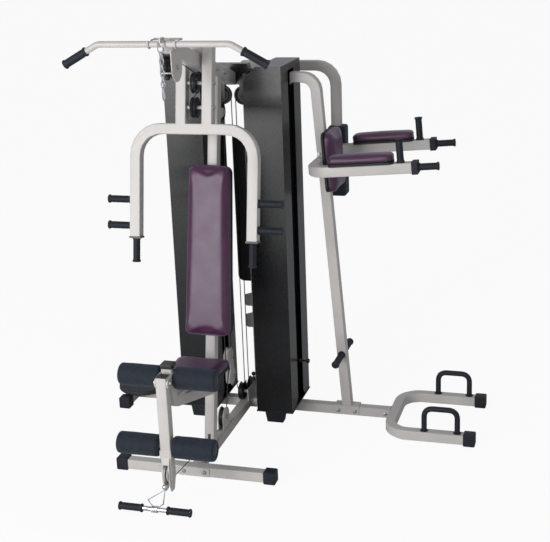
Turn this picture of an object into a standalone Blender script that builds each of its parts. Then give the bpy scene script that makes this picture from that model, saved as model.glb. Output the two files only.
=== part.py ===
"""Multi station home gym: two weight stacks behind black shrouds, a pressing station with seat and leg
lever, a lat bar on a boom, a dip station, a rear backrest, a twister disc and a floor frame with push-up
hoops.

Metres, +Z up. X runs along the rear base tube, Y from the seat to the rear frame, and the floor is z = 0.
"""

import math

import bmesh
import bpy
from mathutils import Matrix, Vector

# ---- sizes that are set by themselves, metres ----

GAP = 0.0003  # between two pieces that touch
PIN_FIT = 0.0004  # round a turning pin

TUBE = 0.050  # square tube of the whole frame
TUBE_EDGE = 0.004  # its rounded corners
CAP_WALL = 0.006  # rubber end caps
CAP_LENGTH = 0.058
CAP_POCKET = 0.024
JOINT_PLATE = 0.005
BAR_RADIUS = 0.0125  # round bars that carry rollers and grips
GRIP_RADIUS = 0.0150
GRIP_FLANGE = 0.0195

FRONT_HALF = 0.342  # visible half length of the front cross tube
STACK_Y = 0.849  # rear base tube, stacks and side upright
STACK_X = 0.206
LEFT_FOOT_X = -0.649
LEFT_FOOT_HALF = 0.117
FLOOR_U_X = 0.787  # closed end of the floor frame
FLOOR_U_END = 1.197
FLOOR_U_HALF = 0.238
FLOOR_U_BEND = 0.110

UPRIGHT_FOOT_Y = 0.218  # front face of the main upright on the base tube
LEAN = 0.194  # run over rise of the upright
BOOM_HEIGHT = 0.062
BOOM_FRONT_Z = 2.0318  # centre line at y = 0
BOOM_FALL = 0.310  # fall over run

BEAM_TOP = 1.848
BEAM_BOTTOM = 1.745
HEAD_BEAM_TOP = 1.806
SHROUD_TOP = 1.820
SHROUD_WIDTH = 0.190
SHROUD_DEPTH = 0.123
SHROUD_SHEET = 0.003
SHROUD_SLOT = 0.107  # open gap between the front and the rear shroud
COVER_RISE = 0.033

ROD_RADIUS = 0.0125
ROD_SPREAD = 0.090
BASE_SHEET = 0.005
BUMPER = 0.022
PLATE_LENGTH = 0.300
PLATE_WIDTH = 0.130
PLATE_PITCH = 0.027
PLATE_GROOVE = 0.0015
RESTING_PLATES = 7
LIFTED_PLATES = 8
STEM_RADIUS = 0.010

CABLE_RADIUS = 0.0025
PULLEY_RADIUS = 0.048
GROOVE_RADIUS = 0.0445  # to the middle of the cable
PULLEY_HALF = 0.011
PIN_RADIUS = 0.0055
STRAP = 0.004  # straps and ears beside a pulley
PIN_PROUD = 0.0008
DROP_X = 0.0115  # the two cables that drop between the stacks
BALL_RADIUS = 0.012

LAT_PULLEY = (0.025, 1.940)
LOW_PULLEY = (0.450, 0.115)
FLOOR_PULLEY_Z = 0.106
HEAD_PULLEY_Z = 1.690
UPRIGHT_PULLEY = (0.640, 1.640)
BLOCK_TOP = (0.572, 0.394)
BLOCK_BOTTOM = (0.593, 0.281)
ANCHOR_Z = 1.360

PRESS_PIVOT = (0.345, 1.980)
PRESS_BEARING = 0.026
PRESS_SPREAD = 0.063
PRESS_LEG_X = 0.285
PRESS_BEND = 0.125
PRESS_BAR_Z = 1.625
PRESS_LEG_END = 1.130
PRESS_GRIP_END = 1.011
PRESS_SIDE_GRIPS = (1.300, 1.180)
PRESS_SIDE_REACH = 0.425
PRESS_PULLEYS = (1.829, 1.721)

LAT_BAR = (-0.055, 2.048)
LAT_RADIUS = 0.013
LAT_STRAIGHT = 0.299
LAT_END = (0.455, 1.963)
LAT_GRIP = 0.120
HOOK_X = 0.061
HOOK_WIRE = 0.004
HOOK_ROD = (0.015, 2.0616)
RING_RISE = 0.018
LINK_WIRE = 0.0032
LINK_LENGTH = 0.036
LINK_WIDTH = 0.020
LINKS = 6

POST_Y = -0.237
POST_TOP = 0.672
POST_BEND_Z = 0.494
ARM_FOOT_Z = 0.345  # where the seat tube meets the upright
FLAT_TUBE = 0.025
SEAT_RISE = 0.055  # rise over run towards the front
SEAT_BACK = 0.235
SEAT_LENGTH = 0.362
SEAT_WIDTH = 0.274
SEAT_THICK = 0.046
BACK_BOTTOM_Z = 0.606
BACK_LENGTH = 0.822
BACK_WIDTH = 0.240
BACK_TOP_WIDTH = 0.214
BACK_THICK = 0.072
BOARD = 0.012

LEVER_Y = -0.310
LEVER_PIVOT_Z = 0.615
LEVER_TOP = 0.646
LEVER_BOTTOM = 0.095
LEVER_PULLEY_Z = 0.1815
LEVER_CHEEK = 0.006
ROLLER_RADIUS = 0.050
ROLLER_LENGTH = 0.196
ROLLER_INNER = 0.034
UPPER_ROLLER_Z = 0.612
LOWER_ROLLER_Z = 0.310

REAR_Y = 1.100  # centre of the rear frame's upright
REAR_TOP_Z = 1.790
REAR_BEND = 0.075
REAR_PAD_BOTTOM = 0.616
REAR_PAD_LENGTH = 0.834
REAR_PAD_WIDTH = 0.230
REAR_PAD_THICK = 0.072

SIDE_FOOT_X = 0.557
SIDE_LEAN = 0.0757
SIDE_TOP_Z = 1.781
SIDE_BEND = 0.070
PEG_Z = 0.345
PEG_REACH = 0.173
ARM_TUBE_Y = 1.200
ARM_TUBE_Z = 1.790
ARM_TUBE_X = 0.445
ARM_TUBE_BEND = 0.100
SLEEVE_WIDTH = 0.092
SLEEVE_LENGTH = 0.372
SLEEVE_BOTTOM = 1.108
DIP_HALF = 0.2735  # from the side upright to each dip arm
DIP_Z = 1.368
DIP_BEND = 0.085
DIP_END = 0.496  # from the side upright to the end of the arm
DIP_COLLAR = 0.025
DIP_GRIP = 0.100
DIP_UPRIGHT_GRIP = 0.440
DIP_UPRIGHT_RISE = 0.118
DIP_PAD_START = 0.094
DIP_PAD_LENGTH = 0.317
DIP_PAD_WIDTH = 0.100
DIP_PAD_THICK = 0.055
BACK_PAD_Z = 1.220
BACK_PAD_LENGTH = 0.303
BACK_PAD_WIDTH = 0.240
BACK_PAD_THICK = 0.060

HOOP_X = 1.083
HOOP_SPREAD = 0.0825
HOOP_RISE = 0.135
HOOP_TUBE = 0.014
HOOP_BEND = 0.045

DISC_X = -0.597
DISC_RADIUS = 0.140
DISC_THICK = 0.022
DISC_BOSS = 0.009

ROW_BAR_X = -0.056
ROW_BAR_LENGTH = 0.344

# ---- sizes that follow ----

HALF = TUBE / 2
TUBE_TOP = CAP_WALL + TUBE
TUBE_Z = CAP_WALL + HALF
ON_TUBE = TUBE_TOP + GAP
REAR_FACE = STACK_Y - HALF
LEAN_ANGLE = math.atan(LEAN)
LEAN_COS = math.cos(LEAN_ANGLE)
SIDE_ANGLE = math.atan(SIDE_LEAN)
STRAP_X = PULLEY_HALF + GAP
HEAD_X = STACK_X - GROOVE_RADIUS
CENTRE_X = DROP_X + GROOVE_RADIUS
STACK_BOTTOM = ON_TUBE + BASE_SHEET + BUMPER + GAP
LIFT_Z = STACK_BOTTOM + RESTING_PLATES * PLATE_PITCH + GAP
LIFT_TOP = LIFT_Z + LIFTED_PLATES * PLATE_PITCH
ROD_TOP = BEAM_BOTTOM + 0.020
SHROUD_BOTTOM = ON_TUBE + BASE_SHEET + GAP
LEVER_BALL_Y = LEVER_Y - HALF - BALL_RADIUS - CABLE_RADIUS * 8
LOW_RUN_Z = LEVER_PULLEY_Z - GROOVE_RADIUS
RING_Y = LAT_BAR[0] - 0.0225

AXES = {
    "XY": (Vector((1, 0, 0)), Vector((0, 1, 0)), Vector((0, 0, 1))),
    "YZ": (Vector((0, 1, 0)), Vector((0, 0, 1)), Vector((1, 0, 0))),
    "XZ": (Vector((1, 0, 0)), Vector((0, 0, 1)), Vector((0, 1, 0))),
}


# ---- shapes ----


def basis(u, v, w, origin=(0, 0, 0)):
    """Matrix that takes local X, Y, Z to u, v, w."""
    matrix = Matrix((u, v, w)).transposed().to_4x4()
    matrix.translation = Vector(origin)
    return matrix


def plane(name):
    return basis(*AXES[name])


def settled(source, matrix=None, weld=0.00001):
    """The object as one welded mesh with its place baked in. The source is removed."""
    bpy.context.view_layer.update()
    graph = bpy.context.evaluated_depsgraph_get()
    mesh = bpy.data.meshes.new_from_object(source.evaluated_get(graph))
    mesh.transform(source.matrix_world)
    if matrix is not None:
        mesh.transform(matrix)
    bm = bmesh.new()
    bm.from_mesh(mesh)
    bmesh.ops.remove_doubles(bm, verts=bm.verts, dist=weld)
    bmesh.ops.dissolve_degenerate(bm, edges=bm.edges, dist=weld)
    bmesh.ops.recalc_face_normals(bm, faces=bm.faces)
    bm.to_mesh(mesh)
    bm.free()
    ob = bpy.data.objects.new("piece", mesh)
    bpy.context.scene.collection.objects.link(ob)
    bpy.data.objects.remove(source)
    return ob


def mesh_object(bm):
    mesh = bpy.data.meshes.new("piece")
    bm.to_mesh(mesh)
    bm.free()
    ob = bpy.data.objects.new("piece", mesh)
    bpy.context.scene.collection.objects.link(ob)
    return ob


def smooth(ob):
    for polygon in ob.data.polygons:
        polygon.use_smooth = True
    return ob


def bevelled(ob, width, segments=1):
    if width <= 0:
        return ob
    bevel = ob.modifiers.new("edges", "BEVEL")
    bevel.width = width
    bevel.segments = segments
    bevel.limit_method = "ANGLE"
    bevel.angle_limit = math.radians(35)
    return settled(ob)


def box(x, y, z, edge=0.0):
    bm = bmesh.new()
    bmesh.ops.create_cube(bm, size=1.0)
    size = Vector((x[1] - x[0], y[1] - y[0], z[1] - z[0]))
    middle = Vector((x[1] + x[0], y[1] + y[0], z[1] + z[0])) / 2
    bmesh.ops.scale(bm, vec=size, verts=bm.verts)
    bmesh.ops.translate(bm, vec=middle, verts=bm.verts)
    return bevelled(mesh_object(bm), edge)


def prism(outline, low, high, matrix, edge=0.0):
    """A flat outline, filled and thickened from low to high along the plane's normal."""
    low, high = sorted((low, high))
    data = bpy.data.curves.new("outline", "CURVE")
    data.dimensions = "2D"
    data.fill_mode = "BOTH"
    data.extrude = (high - low) / 2
    spline = data.splines.new("POLY")
    spline.points.add(len(outline) - 1)
    for point, (u, v) in zip(spline.points, outline):
        point.co = (u, v, 0, 1)
    spline.use_cyclic_u = True
    source = bpy.data.objects.new("outline", data)
    bpy.context.scene.collection.objects.link(source)
    lift = Matrix.Translation((0, 0, (high + low) / 2))
    return bevelled(settled(source, matrix @ lift), edge)


def arc(centre, radius, start, end, steps):
    """Points of an arc, angles in degrees."""
    points = []
    for step in range(steps + 1):
        angle = math.radians(start + (end - start) * step / steps)
        points.append((centre[0] + radius * math.cos(angle), centre[1] + radius * math.sin(angle)))
    return points


def bend(points, radius, steps=5):
    """A path whose inner corners are arcs of the given radius."""
    path = [Vector(points[0])]
    for before, corner, after in zip(points, points[1:], points[2:]):
        corner = Vector(corner)
        back = (Vector(before) - corner).normalized()
        ahead = (Vector(after) - corner).normalized()
        half = back.angle(ahead) / 2
        reach = radius / math.tan(half)
        middle = corner + (back + ahead).normalized() * radius / math.sin(half)
        start = corner + back * reach - middle
        end = corner + ahead * reach - middle
        turn = start.angle(end)
        for step in range(steps + 1):
            share = step / steps
            weight = math.sin((1 - share) * turn), math.sin(share * turn)
            path.append(middle + (start * weight[0] + end * weight[1]) / math.sin(turn))
    path.append(Vector(points[-1]))
    return path


def sides(path, half, end_face=None):
    """Outline of a strip of constant width round a path. end_face: direction of a slanted end."""
    left = []
    right = []
    for index, point in enumerate(path):
        before = path[max(index - 1, 0)]
        after = path[min(index + 1, len(path) - 1)]
        inward = (point - before).normalized() if index else (after - point).normalized()
        outward = (after - point).normalized() if index < len(path) - 1 else inward
        along = (inward + outward).normalized()
        reach = half / max(along.dot(inward), 0.2)
        across = Vector((-along.y, along.x)) * reach
        if end_face and index == len(path) - 1:
            across = Vector(end_face) * half / (along.x * end_face[1] - along.y * end_face[0])
        left.append(tuple(point + across))
        right.append(tuple(point - across))
    return left + right[::-1]


def tube(
    points, matrix, middle, radius=0.0, depth=TUBE, width=TUBE, edge=TUBE_EDGE, steps=5, end_face=None
):
    """Rectangular tube along a flat path: depth in the plane, width across it."""
    path = [Vector(point) for point in points]
    if radius:
        path = bend(path, radius, steps)
    outline = sides(path, depth / 2, end_face)
    return prism(outline, middle - width / 2, middle + width / 2, matrix, edge)


def rod(start, end, radius, count=8):
    start, end = Vector(start), Vector(end)
    bm = bmesh.new()
    length = (end - start).length
    bmesh.ops.create_cone(
        bm, cap_ends=True, segments=count, radius1=radius, radius2=radius, depth=length
    )
    turn = (end - start).to_track_quat("Z", "Y").to_matrix().to_4x4()
    bm.transform(Matrix.Translation((start + end) / 2) @ turn)
    return smooth(mesh_object(bm))


def round_bar(points, radius, resolution=2, closed=False):
    """Round bar along a path of points."""
    data = bpy.data.curves.new("bar", "CURVE")
    data.dimensions = "3D"
    data.bevel_depth = radius
    data.bevel_resolution = resolution
    data.use_fill_caps = not closed
    spline = data.splines.new("POLY")
    spline.points.add(len(points) - 1)
    for point, place in zip(spline.points, points):
        point.co = (*place, 1)
    spline.use_cyclic_u = closed
    source = bpy.data.objects.new("bar", data)
    bpy.context.scene.collection.objects.link(source)
    return smooth(settled(source))


def turned(profile, base, along, steps=14):
    """Profile of (radius, height), top to bottom, turned about an axis through base."""
    bm = bmesh.new()
    points = [bm.verts.new((radius, 0, height)) for radius, height in profile]
    for first, second in zip(points, points[1:]):
        bm.edges.new((first, second))
    if profile[0][0] > 0:
        bm.edges.new((points[-1], points[0]))
    source = mesh_object(bm)
    screw = source.modifiers.new("turn", "SCREW")
    screw.steps = steps
    screw.render_steps = steps
    screw.use_merge_vertices = True
    screw.merge_threshold = 0.00001
    turn = Vector(along).to_track_quat("Z", "Y").to_matrix().to_4x4()
    return smooth(settled(source, Matrix.Translation(base) @ turn))


def combine(kind, body, others):
    for other in others:
        boolean = body.modifiers.new("combine", "BOOLEAN")
        boolean.operation = kind
        boolean.solver = "EXACT"
        boolean.object = other
        body = settled(body)
        bpy.data.objects.remove(other)
    return body


def joined(body, *others):
    return combine("UNION", body, others)


def cut(body, *others):
    return combine("DIFFERENCE", body, others)


def swung(ob, angle, axis, about):
    """The piece turned by an angle in radians about an axis through a point."""
    about = Vector(about)
    turn = Matrix.Translation(about) @ Matrix.Rotation(angle, 4, axis) @ Matrix.Translation(-about)
    ob.data.transform(turn)
    return ob


def mirrored(ob):
    """A copy on the other side of the middle plane."""
    copy = bpy.data.objects.new("piece", ob.data.copy())
    bpy.context.scene.collection.objects.link(copy)
    copy.data.transform(Matrix.Scale(-1, 4, Vector((1, 0, 0))))
    copy.data.flip_normals()
    return copy


def lofted(rings, matrix):
    """A solid through closed rings of points, capped at both ends."""
    bm = bmesh.new()
    loops = []
    for ring in rings:
        points = [bm.verts.new(point) for point in ring]
        loops.append([bm.edges.new(pair) for pair in zip(points, points[1:] + points[:1])])
    for lower, upper in zip(loops, loops[1:]):
        bmesh.ops.bridge_loops(bm, edges=lower + upper)
    for loop in (loops[0], loops[-1]):
        bmesh.ops.contextual_create(bm, geom=loop)
    return smooth(settled(mesh_object(bm), matrix))


def cushion(matrix, width, length, thick, board=BOARD, corner=0.035, top_width=None, crown=0.006):
    """Upholstered pad on a black board. Local X is its width, Y its length and Z its thickness."""
    top_width = top_width or width
    foam = thick - board - crown
    swell = (
        (0.006, 0.0, 1.0),
        (0.006, board, 1.0),
        (0.002, board + 0.002, 1.0),
        (0.0, board + foam * 0.40, 1.0),
        (0.003, board + foam * 0.72, 1.0),
        (0.010, board + foam * 0.93, 1.0),
        (0.020, board + foam, 1.0),
        (0.020, board + foam + crown * 0.55, 0.80),
        (0.020, thick, 0.40),
    )
    rings = []
    for inset, height, scale in swell:
        ring = []
        for index, (sx, sy) in enumerate(((1, 1), (-1, 1), (-1, -1), (1, -1))):
            half = (top_width if sy > 0 else width) / 2
            middle = (sx * (half - corner), sy * (length / 2 - corner))
            ring += arc(middle, corner - inset, 90 * index, 90 * index + 90, 3)
        rings.append([(u * scale, v * scale, height) for u, v in ring])
    return lofted(rings, matrix)


def grip(base, along, length, radius=GRIP_RADIUS, flange=GRIP_FLANGE):
    """Rubber grip: a flange at each end and a slightly swollen handle."""
    profile = [(0, length), (flange, length), (flange, length - 0.006), (radius - 0.001, length - 0.009)]
    profile += [(radius, length / 2), (radius - 0.001, 0.009), (flange, 0.006), (flange, 0), (0, 0)]
    return turned(profile, base, along, 8)


def wheel(centre, along, bore=0.0, half=PULLEY_HALF):
    """Pulley with a rope groove. Without a bore it is solid to its axis."""
    inner, radius = bore, PULLEY_RADIUS
    groove = GROOVE_RADIUS - CABLE_RADIUS - 0.0011
    profile = [
        (inner, half),
        (radius, half),
        (groove, 0.0032),
        (groove, -0.0032),
        (radius, -half),
        (inner, -half),
    ]
    return turned(profile, centre, along, 12)


def pulley(centre, along):
    return wheel(centre, along, bore=PIN_RADIUS + PIN_FIT)


def pin_between(centre, axis, reach):
    """Pin through a pulley, from strap to strap, with its ends just proud of them."""
    offset = axis * (reach + PIN_PROUD)
    return rod(centre - offset, centre + offset, PIN_RADIUS)


def belt(stops):
    """Flat route of a cable. A stop is a point, or a wheel (u, v, turn) with turn 1 or -1."""
    path = []
    for index, stop in enumerate(stops):
        centre = Vector(stop[:2])
        turn = stop[2] if len(stop) > 2 else 0
        if not turn:
            path.append(centre)
            continue
        touch = []
        for other, ahead in ((stops[index - 1], False), (stops[index + 1], True)):
            other_turn = other[2] if len(other) > 2 else 0
            step = Vector(other[:2]) - centre if ahead else centre - Vector(other[:2])
            first = turn if ahead else other_turn
            second = other_turn if ahead else turn
            lean = math.asin(GROOVE_RADIUS * (first - second) / step.length)
            heading = math.atan2(step.y, step.x) + lean
            touch.append(heading - turn * math.pi / 2)
        start, end = touch
        while turn * (end - start) < 0:
            end += turn * 2 * math.pi
        while turn * (end - start) > 2 * math.pi:
            end -= turn * 2 * math.pi
        count = max(2, round(abs(end - start) / math.radians(20)))
        path += [
            Vector(point)
            for point in arc(centre, GROOVE_RADIUS, math.degrees(start), math.degrees(end), count)
        ]
    return path


def ball(centre, radius=BALL_RADIUS):
    bm = bmesh.new()
    bmesh.ops.create_uvsphere(bm, u_segments=8, v_segments=6, radius=radius)
    bm.transform(Matrix.Translation(centre))
    return smooth(mesh_object(bm))


def cable(points, ball_at):
    return joined(round_bar(points, CABLE_RADIUS, 0), ball(ball_at))


def front_face(z):
    """y of the main upright's front face at a height."""
    return UPRIGHT_FOOT_Y + LEAN * (z - TUBE_TOP)


def upright_middle(z):
    return front_face(z) + HALF / LEAN_COS


def boom_middle(y):
    return BOOM_FRONT_Z - BOOM_FALL * y


def side_x(z):
    """x of the side upright's middle at a height."""
    return SIDE_FOOT_X - SIDE_LEAN * (z - ON_TUBE)


def press_y(z):
    """y of the press arm's middle plane at a height."""
    return PRESS_PIVOT[0] - LEAN * (PRESS_PIVOT[1] - z)


# ---- frame on the floor ----


def end_cap(along, across, ends):
    """Rubber cap over a tube end. along: axis name, across: the tube's middle, ends: open, closed."""
    half = HALF + CAP_WALL
    open_end, closed_end = ends
    run = (min(ends), max(ends))
    side = (across - half, across + half)
    pocket_end = open_end + math.copysign(CAP_POCKET, closed_end - open_end)
    pocket_run = sorted((open_end - math.copysign(0.01, closed_end - open_end), pocket_end))
    inner = (across - HALF - GAP, across + HALF + GAP)
    rise = (0.0, TUBE_TOP + CAP_WALL)
    pocket_rise = (CAP_WALL - GAP, ON_TUBE)
    if along == "X":
        return cut(box(run, side, rise, 0.004), box(pocket_run, inner, pocket_rise))
    return cut(box(side, run, rise, 0.004), box(inner, pocket_run, pocket_rise))


def front_cross_tube():
    reach = FRONT_HALF + CAP_POCKET - GAP
    body = box((-reach, reach), (0, TUBE), (CAP_WALL, TUBE_TOP), TUBE_EDGE)
    plate = box((-0.075, 0.075), (-JOINT_PLATE, 0.001), (CAP_WALL + 0.002, TUBE_TOP - 0.002))
    return joined(body, plate)


def main_base_tube():
    y = LOW_PULLEY[0]
    body = box((-HALF, HALF), (TUBE + GAP, REAR_FACE - GAP), (CAP_WALL, TUBE_TOP), TUBE_EDGE)
    outline = [(y - 0.05, TUBE_TOP - 0.008), (y + 0.05, TUBE_TOP - 0.008)]
    outline += arc((y, LOW_PULLEY[1]), 0.050, 0, 180, 8)
    ears = [
        prism(outline, side * STRAP_X, side * (STRAP_X + STRAP), plane("YZ")) for side in (-1, 1)
    ]
    pin = pin_between(Vector((0, *LOW_PULLEY)), Vector((1, 0, 0)), STRAP_X + STRAP)
    return joined(body, *ears, pin)


def floor_pulley_bracket():
    reach = GROOVE_RADIUS + 0.020
    outer = DROP_X + STRAP_X + STRAP
    pieces = []
    for side in (-1, 1):
        x = sorted((side * (outer - STRAP), side * outer))
        pieces.append(box(x, (REAR_FACE, STACK_Y + HALF), (TUBE_TOP - 0.004, TUBE_TOP + 0.010)))
        pieces.append(box(x, (STACK_Y - reach, STACK_Y + reach), (ON_TUBE, FLOOR_PULLEY_Z + 0.015)))
    for side in (-1, 1):
        y = STACK_Y + side * GROOVE_RADIUS
        pieces.append(pin_between(Vector((0, y, FLOOR_PULLEY_Z)), Vector((1, 0, 0)), outer))
        start, end = -side * GAP, -side * (outer - STRAP / 2)
        pieces.append(rod((start, y, FLOOR_PULLEY_Z), (end, y, FLOOR_PULLEY_Z), 0.009))
    return pieces


def rear_base_tube():
    body = box(
        (LEFT_FOOT_X - HALF, FLOOR_U_X - GAP),
        (REAR_FACE, STACK_Y + HALF),
        (CAP_WALL, TUBE_TOP),
        TUBE_EDGE,
    )
    reach = LEFT_FOOT_HALF + CAP_POCKET - GAP
    foot = box(
        (LEFT_FOOT_X - HALF, LEFT_FOOT_X + HALF),
        (STACK_Y - reach, STACK_Y + reach),
        (CAP_WALL, TUBE_TOP),
        TUBE_EDGE,
    )
    boss = rod((DISC_X, STACK_Y, TUBE_TOP - 0.006), (DISC_X, STACK_Y, TUBE_TOP + DISC_BOSS), 0.024, 20)
    spindle_top = TUBE_TOP + DISC_BOSS + DISC_THICK * 0.6
    spindle = rod((DISC_X, STACK_Y, TUBE_TOP), (DISC_X, STACK_Y, spindle_top), 0.008, 16)
    return joined(body, foot, boss, spindle, *floor_pulley_bracket())


def twister_disc():
    bottom = TUBE_TOP + DISC_BOSS + GAP
    top = bottom + DISC_THICK
    inner = DISC_RADIUS - 0.030
    profile = [
        (0, top - 0.004),
        (inner, top - 0.004),
        (inner + 0.004, top),
        (DISC_RADIUS - 0.005, top),
        (DISC_RADIUS, top - 0.005),
        (DISC_RADIUS, bottom + 0.003),
        (DISC_RADIUS - 0.003, bottom),
        (0, bottom),
    ]
    disc = turned(profile, (DISC_X, STACK_Y, 0), (0, 0, 1), 24)
    socket_top = bottom + DISC_THICK * 0.6
    socket = rod((DISC_X, STACK_Y, bottom - 0.01), (DISC_X, STACK_Y, socket_top), 0.008 + PIN_FIT, 16)
    return cut(disc, socket)


def floor_u_tube():
    low, high = STACK_Y - FLOOR_U_HALF, STACK_Y + FLOOR_U_HALF
    x = FLOOR_U_X + HALF
    end = FLOOR_U_END + CAP_POCKET - GAP
    points = ((end, low), (x, low), (x, high), (end, high))
    body = tube(points, plane("XY"), TUBE_Z, FLOOR_U_BEND, steps=6)
    plate_x = (FLOOR_U_X - 0.045, FLOOR_U_X + 0.004)
    pieces = []
    for side in (-1, 1):
        y = sorted((STACK_Y + side * (HALF + GAP), STACK_Y + side * (HALF + JOINT_PLATE)))
        pieces.append(box(plate_x, y, (CAP_WALL + 0.004, TUBE_TOP - 0.004)))
    return joined(body, *pieces)


def pushup_handle(y):
    low = ON_TUBE
    top = TUBE_TOP + HOOP_RISE - HOOP_TUBE
    left, right = HOOP_X - HOOP_SPREAD, HOOP_X + HOOP_SPREAD
    path = bend([(left, low), (left, top), (right, top), (right, low)], HOOP_BEND, 5)
    hoop = round_bar([(point.x, y, point.y) for point in path], HOOP_TUBE, 2)
    feet = [rod((x, y, low), (x, y, low + 0.004), HOOP_TUBE + 0.006, 16) for x in (left, right)]
    return joined(hoop, *feet)


# ---- main upright, boom and crossbeam ----


def upright_pulley_bracket():
    y, z = UPRIGHT_PULLEY
    foot = upright_middle(z)
    ears = []
    for side in (-1, 1):
        outline = [(foot, z - 0.030), (y, z - 0.020)]
        outline += arc((y, z), 0.020, -60, 60, 4)
        outline += [(y, z + 0.020), (foot, z + 0.036)]
        ears.append(prism(outline, side * STRAP_X, side * (STRAP_X + STRAP), plane("YZ")))
    return ears + [pin_between(Vector((0, y, z)), Vector((1, 0, 0)), STRAP_X + STRAP)]


def main_upright():
    top = 1.900
    foot = ON_TUBE
    points = ((upright_middle(foot - 0.05), foot - 0.05), (upright_middle(top), top))
    body = tube(points, plane("YZ"), 0)
    floor = box((-0.1, 0.1), (0, 0.5), (foot - 0.2, foot))
    boom_under = [(y, boom_middle(y) - under) for y, under in boom_underside()]
    roof = boom_under + [(1.0, 2.3), (0.1, 2.3)]
    lid = prism(roof, -0.1, 0.1, plane("YZ"))
    low_slot = box((-0.008, 0.008), (0.1, 0.4), (foot + 0.006, foot + 0.062))
    run_z = PRESS_PULLEYS[1] - GROOVE_RADIUS
    high_slot = box((-0.008, 0.008), (0.4, 0.7), (run_z - 0.020, run_z + 0.026))
    body = cut(body, floor, lid, low_slot, high_slot)
    anchor_y = front_face(ANCHOR_Z) + TUBE / LEAN_COS
    anchor = box((-0.006, 0.006), (anchor_y - 0.004, anchor_y + 0.028), (ANCHOR_Z, ANCHOR_Z + 0.022))
    return joined(body, anchor, *upright_pulley_bracket())


def boom_underside():
    """(y, depth) of the boom's lower face plus the working gap, at two places."""
    depth = (BOOM_HEIGHT / 2) / math.cos(math.atan(BOOM_FALL)) + GAP
    return ((0.1, depth), (1.0, depth))


def hook(x):
    """J hook of round wire round the resting lat bar."""
    turn = LAT_RADIUS + HOOK_WIRE + GAP
    y, z = LAT_BAR
    path = [(HOOK_ROD[0], HOOK_ROD[1]), (y + turn + 0.012, HOOK_ROD[1])]
    path += arc((y, z), turn, 0, -180, 8)
    path.append((y - turn, z + 0.014))
    return round_bar([(x, *point) for point in path], HOOK_WIRE, 1)


def top_boom():
    end = REAR_FACE - GAP
    points = ((0.0, boom_middle(0.0)), (end + 0.05, boom_middle(end + 0.05)))
    body = tube(points, plane("YZ"), 0, depth=BOOM_HEIGHT)
    body = cut(body, box((-0.1, 0.1), (end, end + 0.2), (1.5, 2.0)))
    y, z = LAT_PULLEY
    outline = [(y + 0.060, z + 0.060), (y - 0.061, z + 0.078), (y - 0.061, z)]
    outline += arc((y, z - 0.002), 0.060, 190, 350, 8)
    pieces = []
    for side in (-1, 1):
        pieces.append(prism(outline, side * (HALF - 0.001), side * (HALF + STRAP), plane("YZ")))
    pieces.append(pin_between(Vector((0, y, z)), Vector((1, 0, 0)), HALF + STRAP))
    for side in (-1, 1):
        pieces.append(rod((side * STRAP_X, y, z), (side * (HALF + STRAP / 2), y, z), 0.009, 12))
    bearing_z = PRESS_PIVOT[1]
    reach = PRESS_SPREAD - HALF - GAP
    bearing_y = PRESS_PIVOT[0]
    pieces.append(rod((-reach, bearing_y, bearing_z), (reach, bearing_y, bearing_z), PRESS_BEARING, 16))
    reach = PRESS_SPREAD + HALF
    pieces.append(rod((-reach, PRESS_PIVOT[0], bearing_z), (reach, PRESS_PIVOT[0], bearing_z), 0.010, 16))
    reach = HOOK_X + HOOK_WIRE * 0.5
    pieces.append(rod((-reach, *HOOK_ROD), (reach, *HOOK_ROD), HOOK_WIRE + 0.001, 8))
    pieces += [hook(-HOOK_X), hook(HOOK_X)]
    for height in (z + 0.072, z - 0.020):
        front = y - 0.0622
        pieces.append(box((-HALF - 0.002, HALF + 0.002), (front, front + 0.005), (height, height + 0.006)))
    return joined(body, *pieces)


def head_strap(x, y_side):
    y = STACK_Y + y_side * STRAP_X
    sheet = sorted((y, y + y_side * STRAP))
    return box((x - 0.017, x + 0.017), sheet, (HEAD_PULLEY_Z - 0.018, BEAM_BOTTOM + 0.004))


def top_crossbeam():
    half = STACK_X + SHROUD_WIDTH / 2
    y = (REAR_FACE, STACK_Y + HALF)
    body = box((-half, half), (y[0] + 0.0008, y[1] - 0.0008), (BEAM_BOTTOM, HEAD_BEAM_TOP))
    step = BEAM_TOP - 0.023
    outline = [(-0.140, BEAM_BOTTOM + 0.01), (0.140, BEAM_BOTTOM + 0.01), (0.123, step), (0.092, step)]
    outline += [(0.086, BEAM_TOP), (-0.086, BEAM_TOP), (-0.092, step), (-0.123, step)]
    middle = prism(outline, y[0], y[1], plane("XZ"))
    pieces = [middle]
    depth = SHROUD_DEPTH + SHROUD_SLOT / 2
    for side in (-1, 1):
        inner = side * (STACK_X - SHROUD_WIDTH / 2 + 0.028)
        outer = side * half
        top = SHROUD_TOP + GAP + COVER_RISE
        slope = side * 0.038
        outline = [(inner, SHROUD_TOP + GAP), (outer, SHROUD_TOP + GAP), (outer, top), (inner + slope, top)]
        pieces.append(prism(outline, STACK_Y - depth, STACK_Y + depth, plane("XZ")))
        x = sorted((side * (STACK_X - 0.030), side * (STACK_X + 0.030)))
        pieces.append(box(x, (REAR_FACE + 0.002, STACK_Y + HALF - 0.002), (HEAD_BEAM_TOP - 0.01, top - 0.01)))
        spread = ROD_SPREAD + 0.022
        pieces.append(box(x, (STACK_Y - spread, STACK_Y + spread), (ROD_TOP, ROD_TOP + 0.020)))
        for pulley_x in (side * CENTRE_X, side * HEAD_X):
            pieces += [head_strap(pulley_x, -1), head_strap(pulley_x, 1)]
        centre = Vector((side * CENTRE_X, STACK_Y, HEAD_PULLEY_Z))
        pieces.append(pin_between(centre, Vector((0, 1, 0)), STRAP_X + STRAP))
        held = STRAP_X + STRAP / 2
        pieces.append(wheel((side * HEAD_X, STACK_Y, HEAD_PULLEY_Z), (0, 1, 0), half=held))
    return joined(body, *pieces)


# ---- stacks ----


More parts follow.
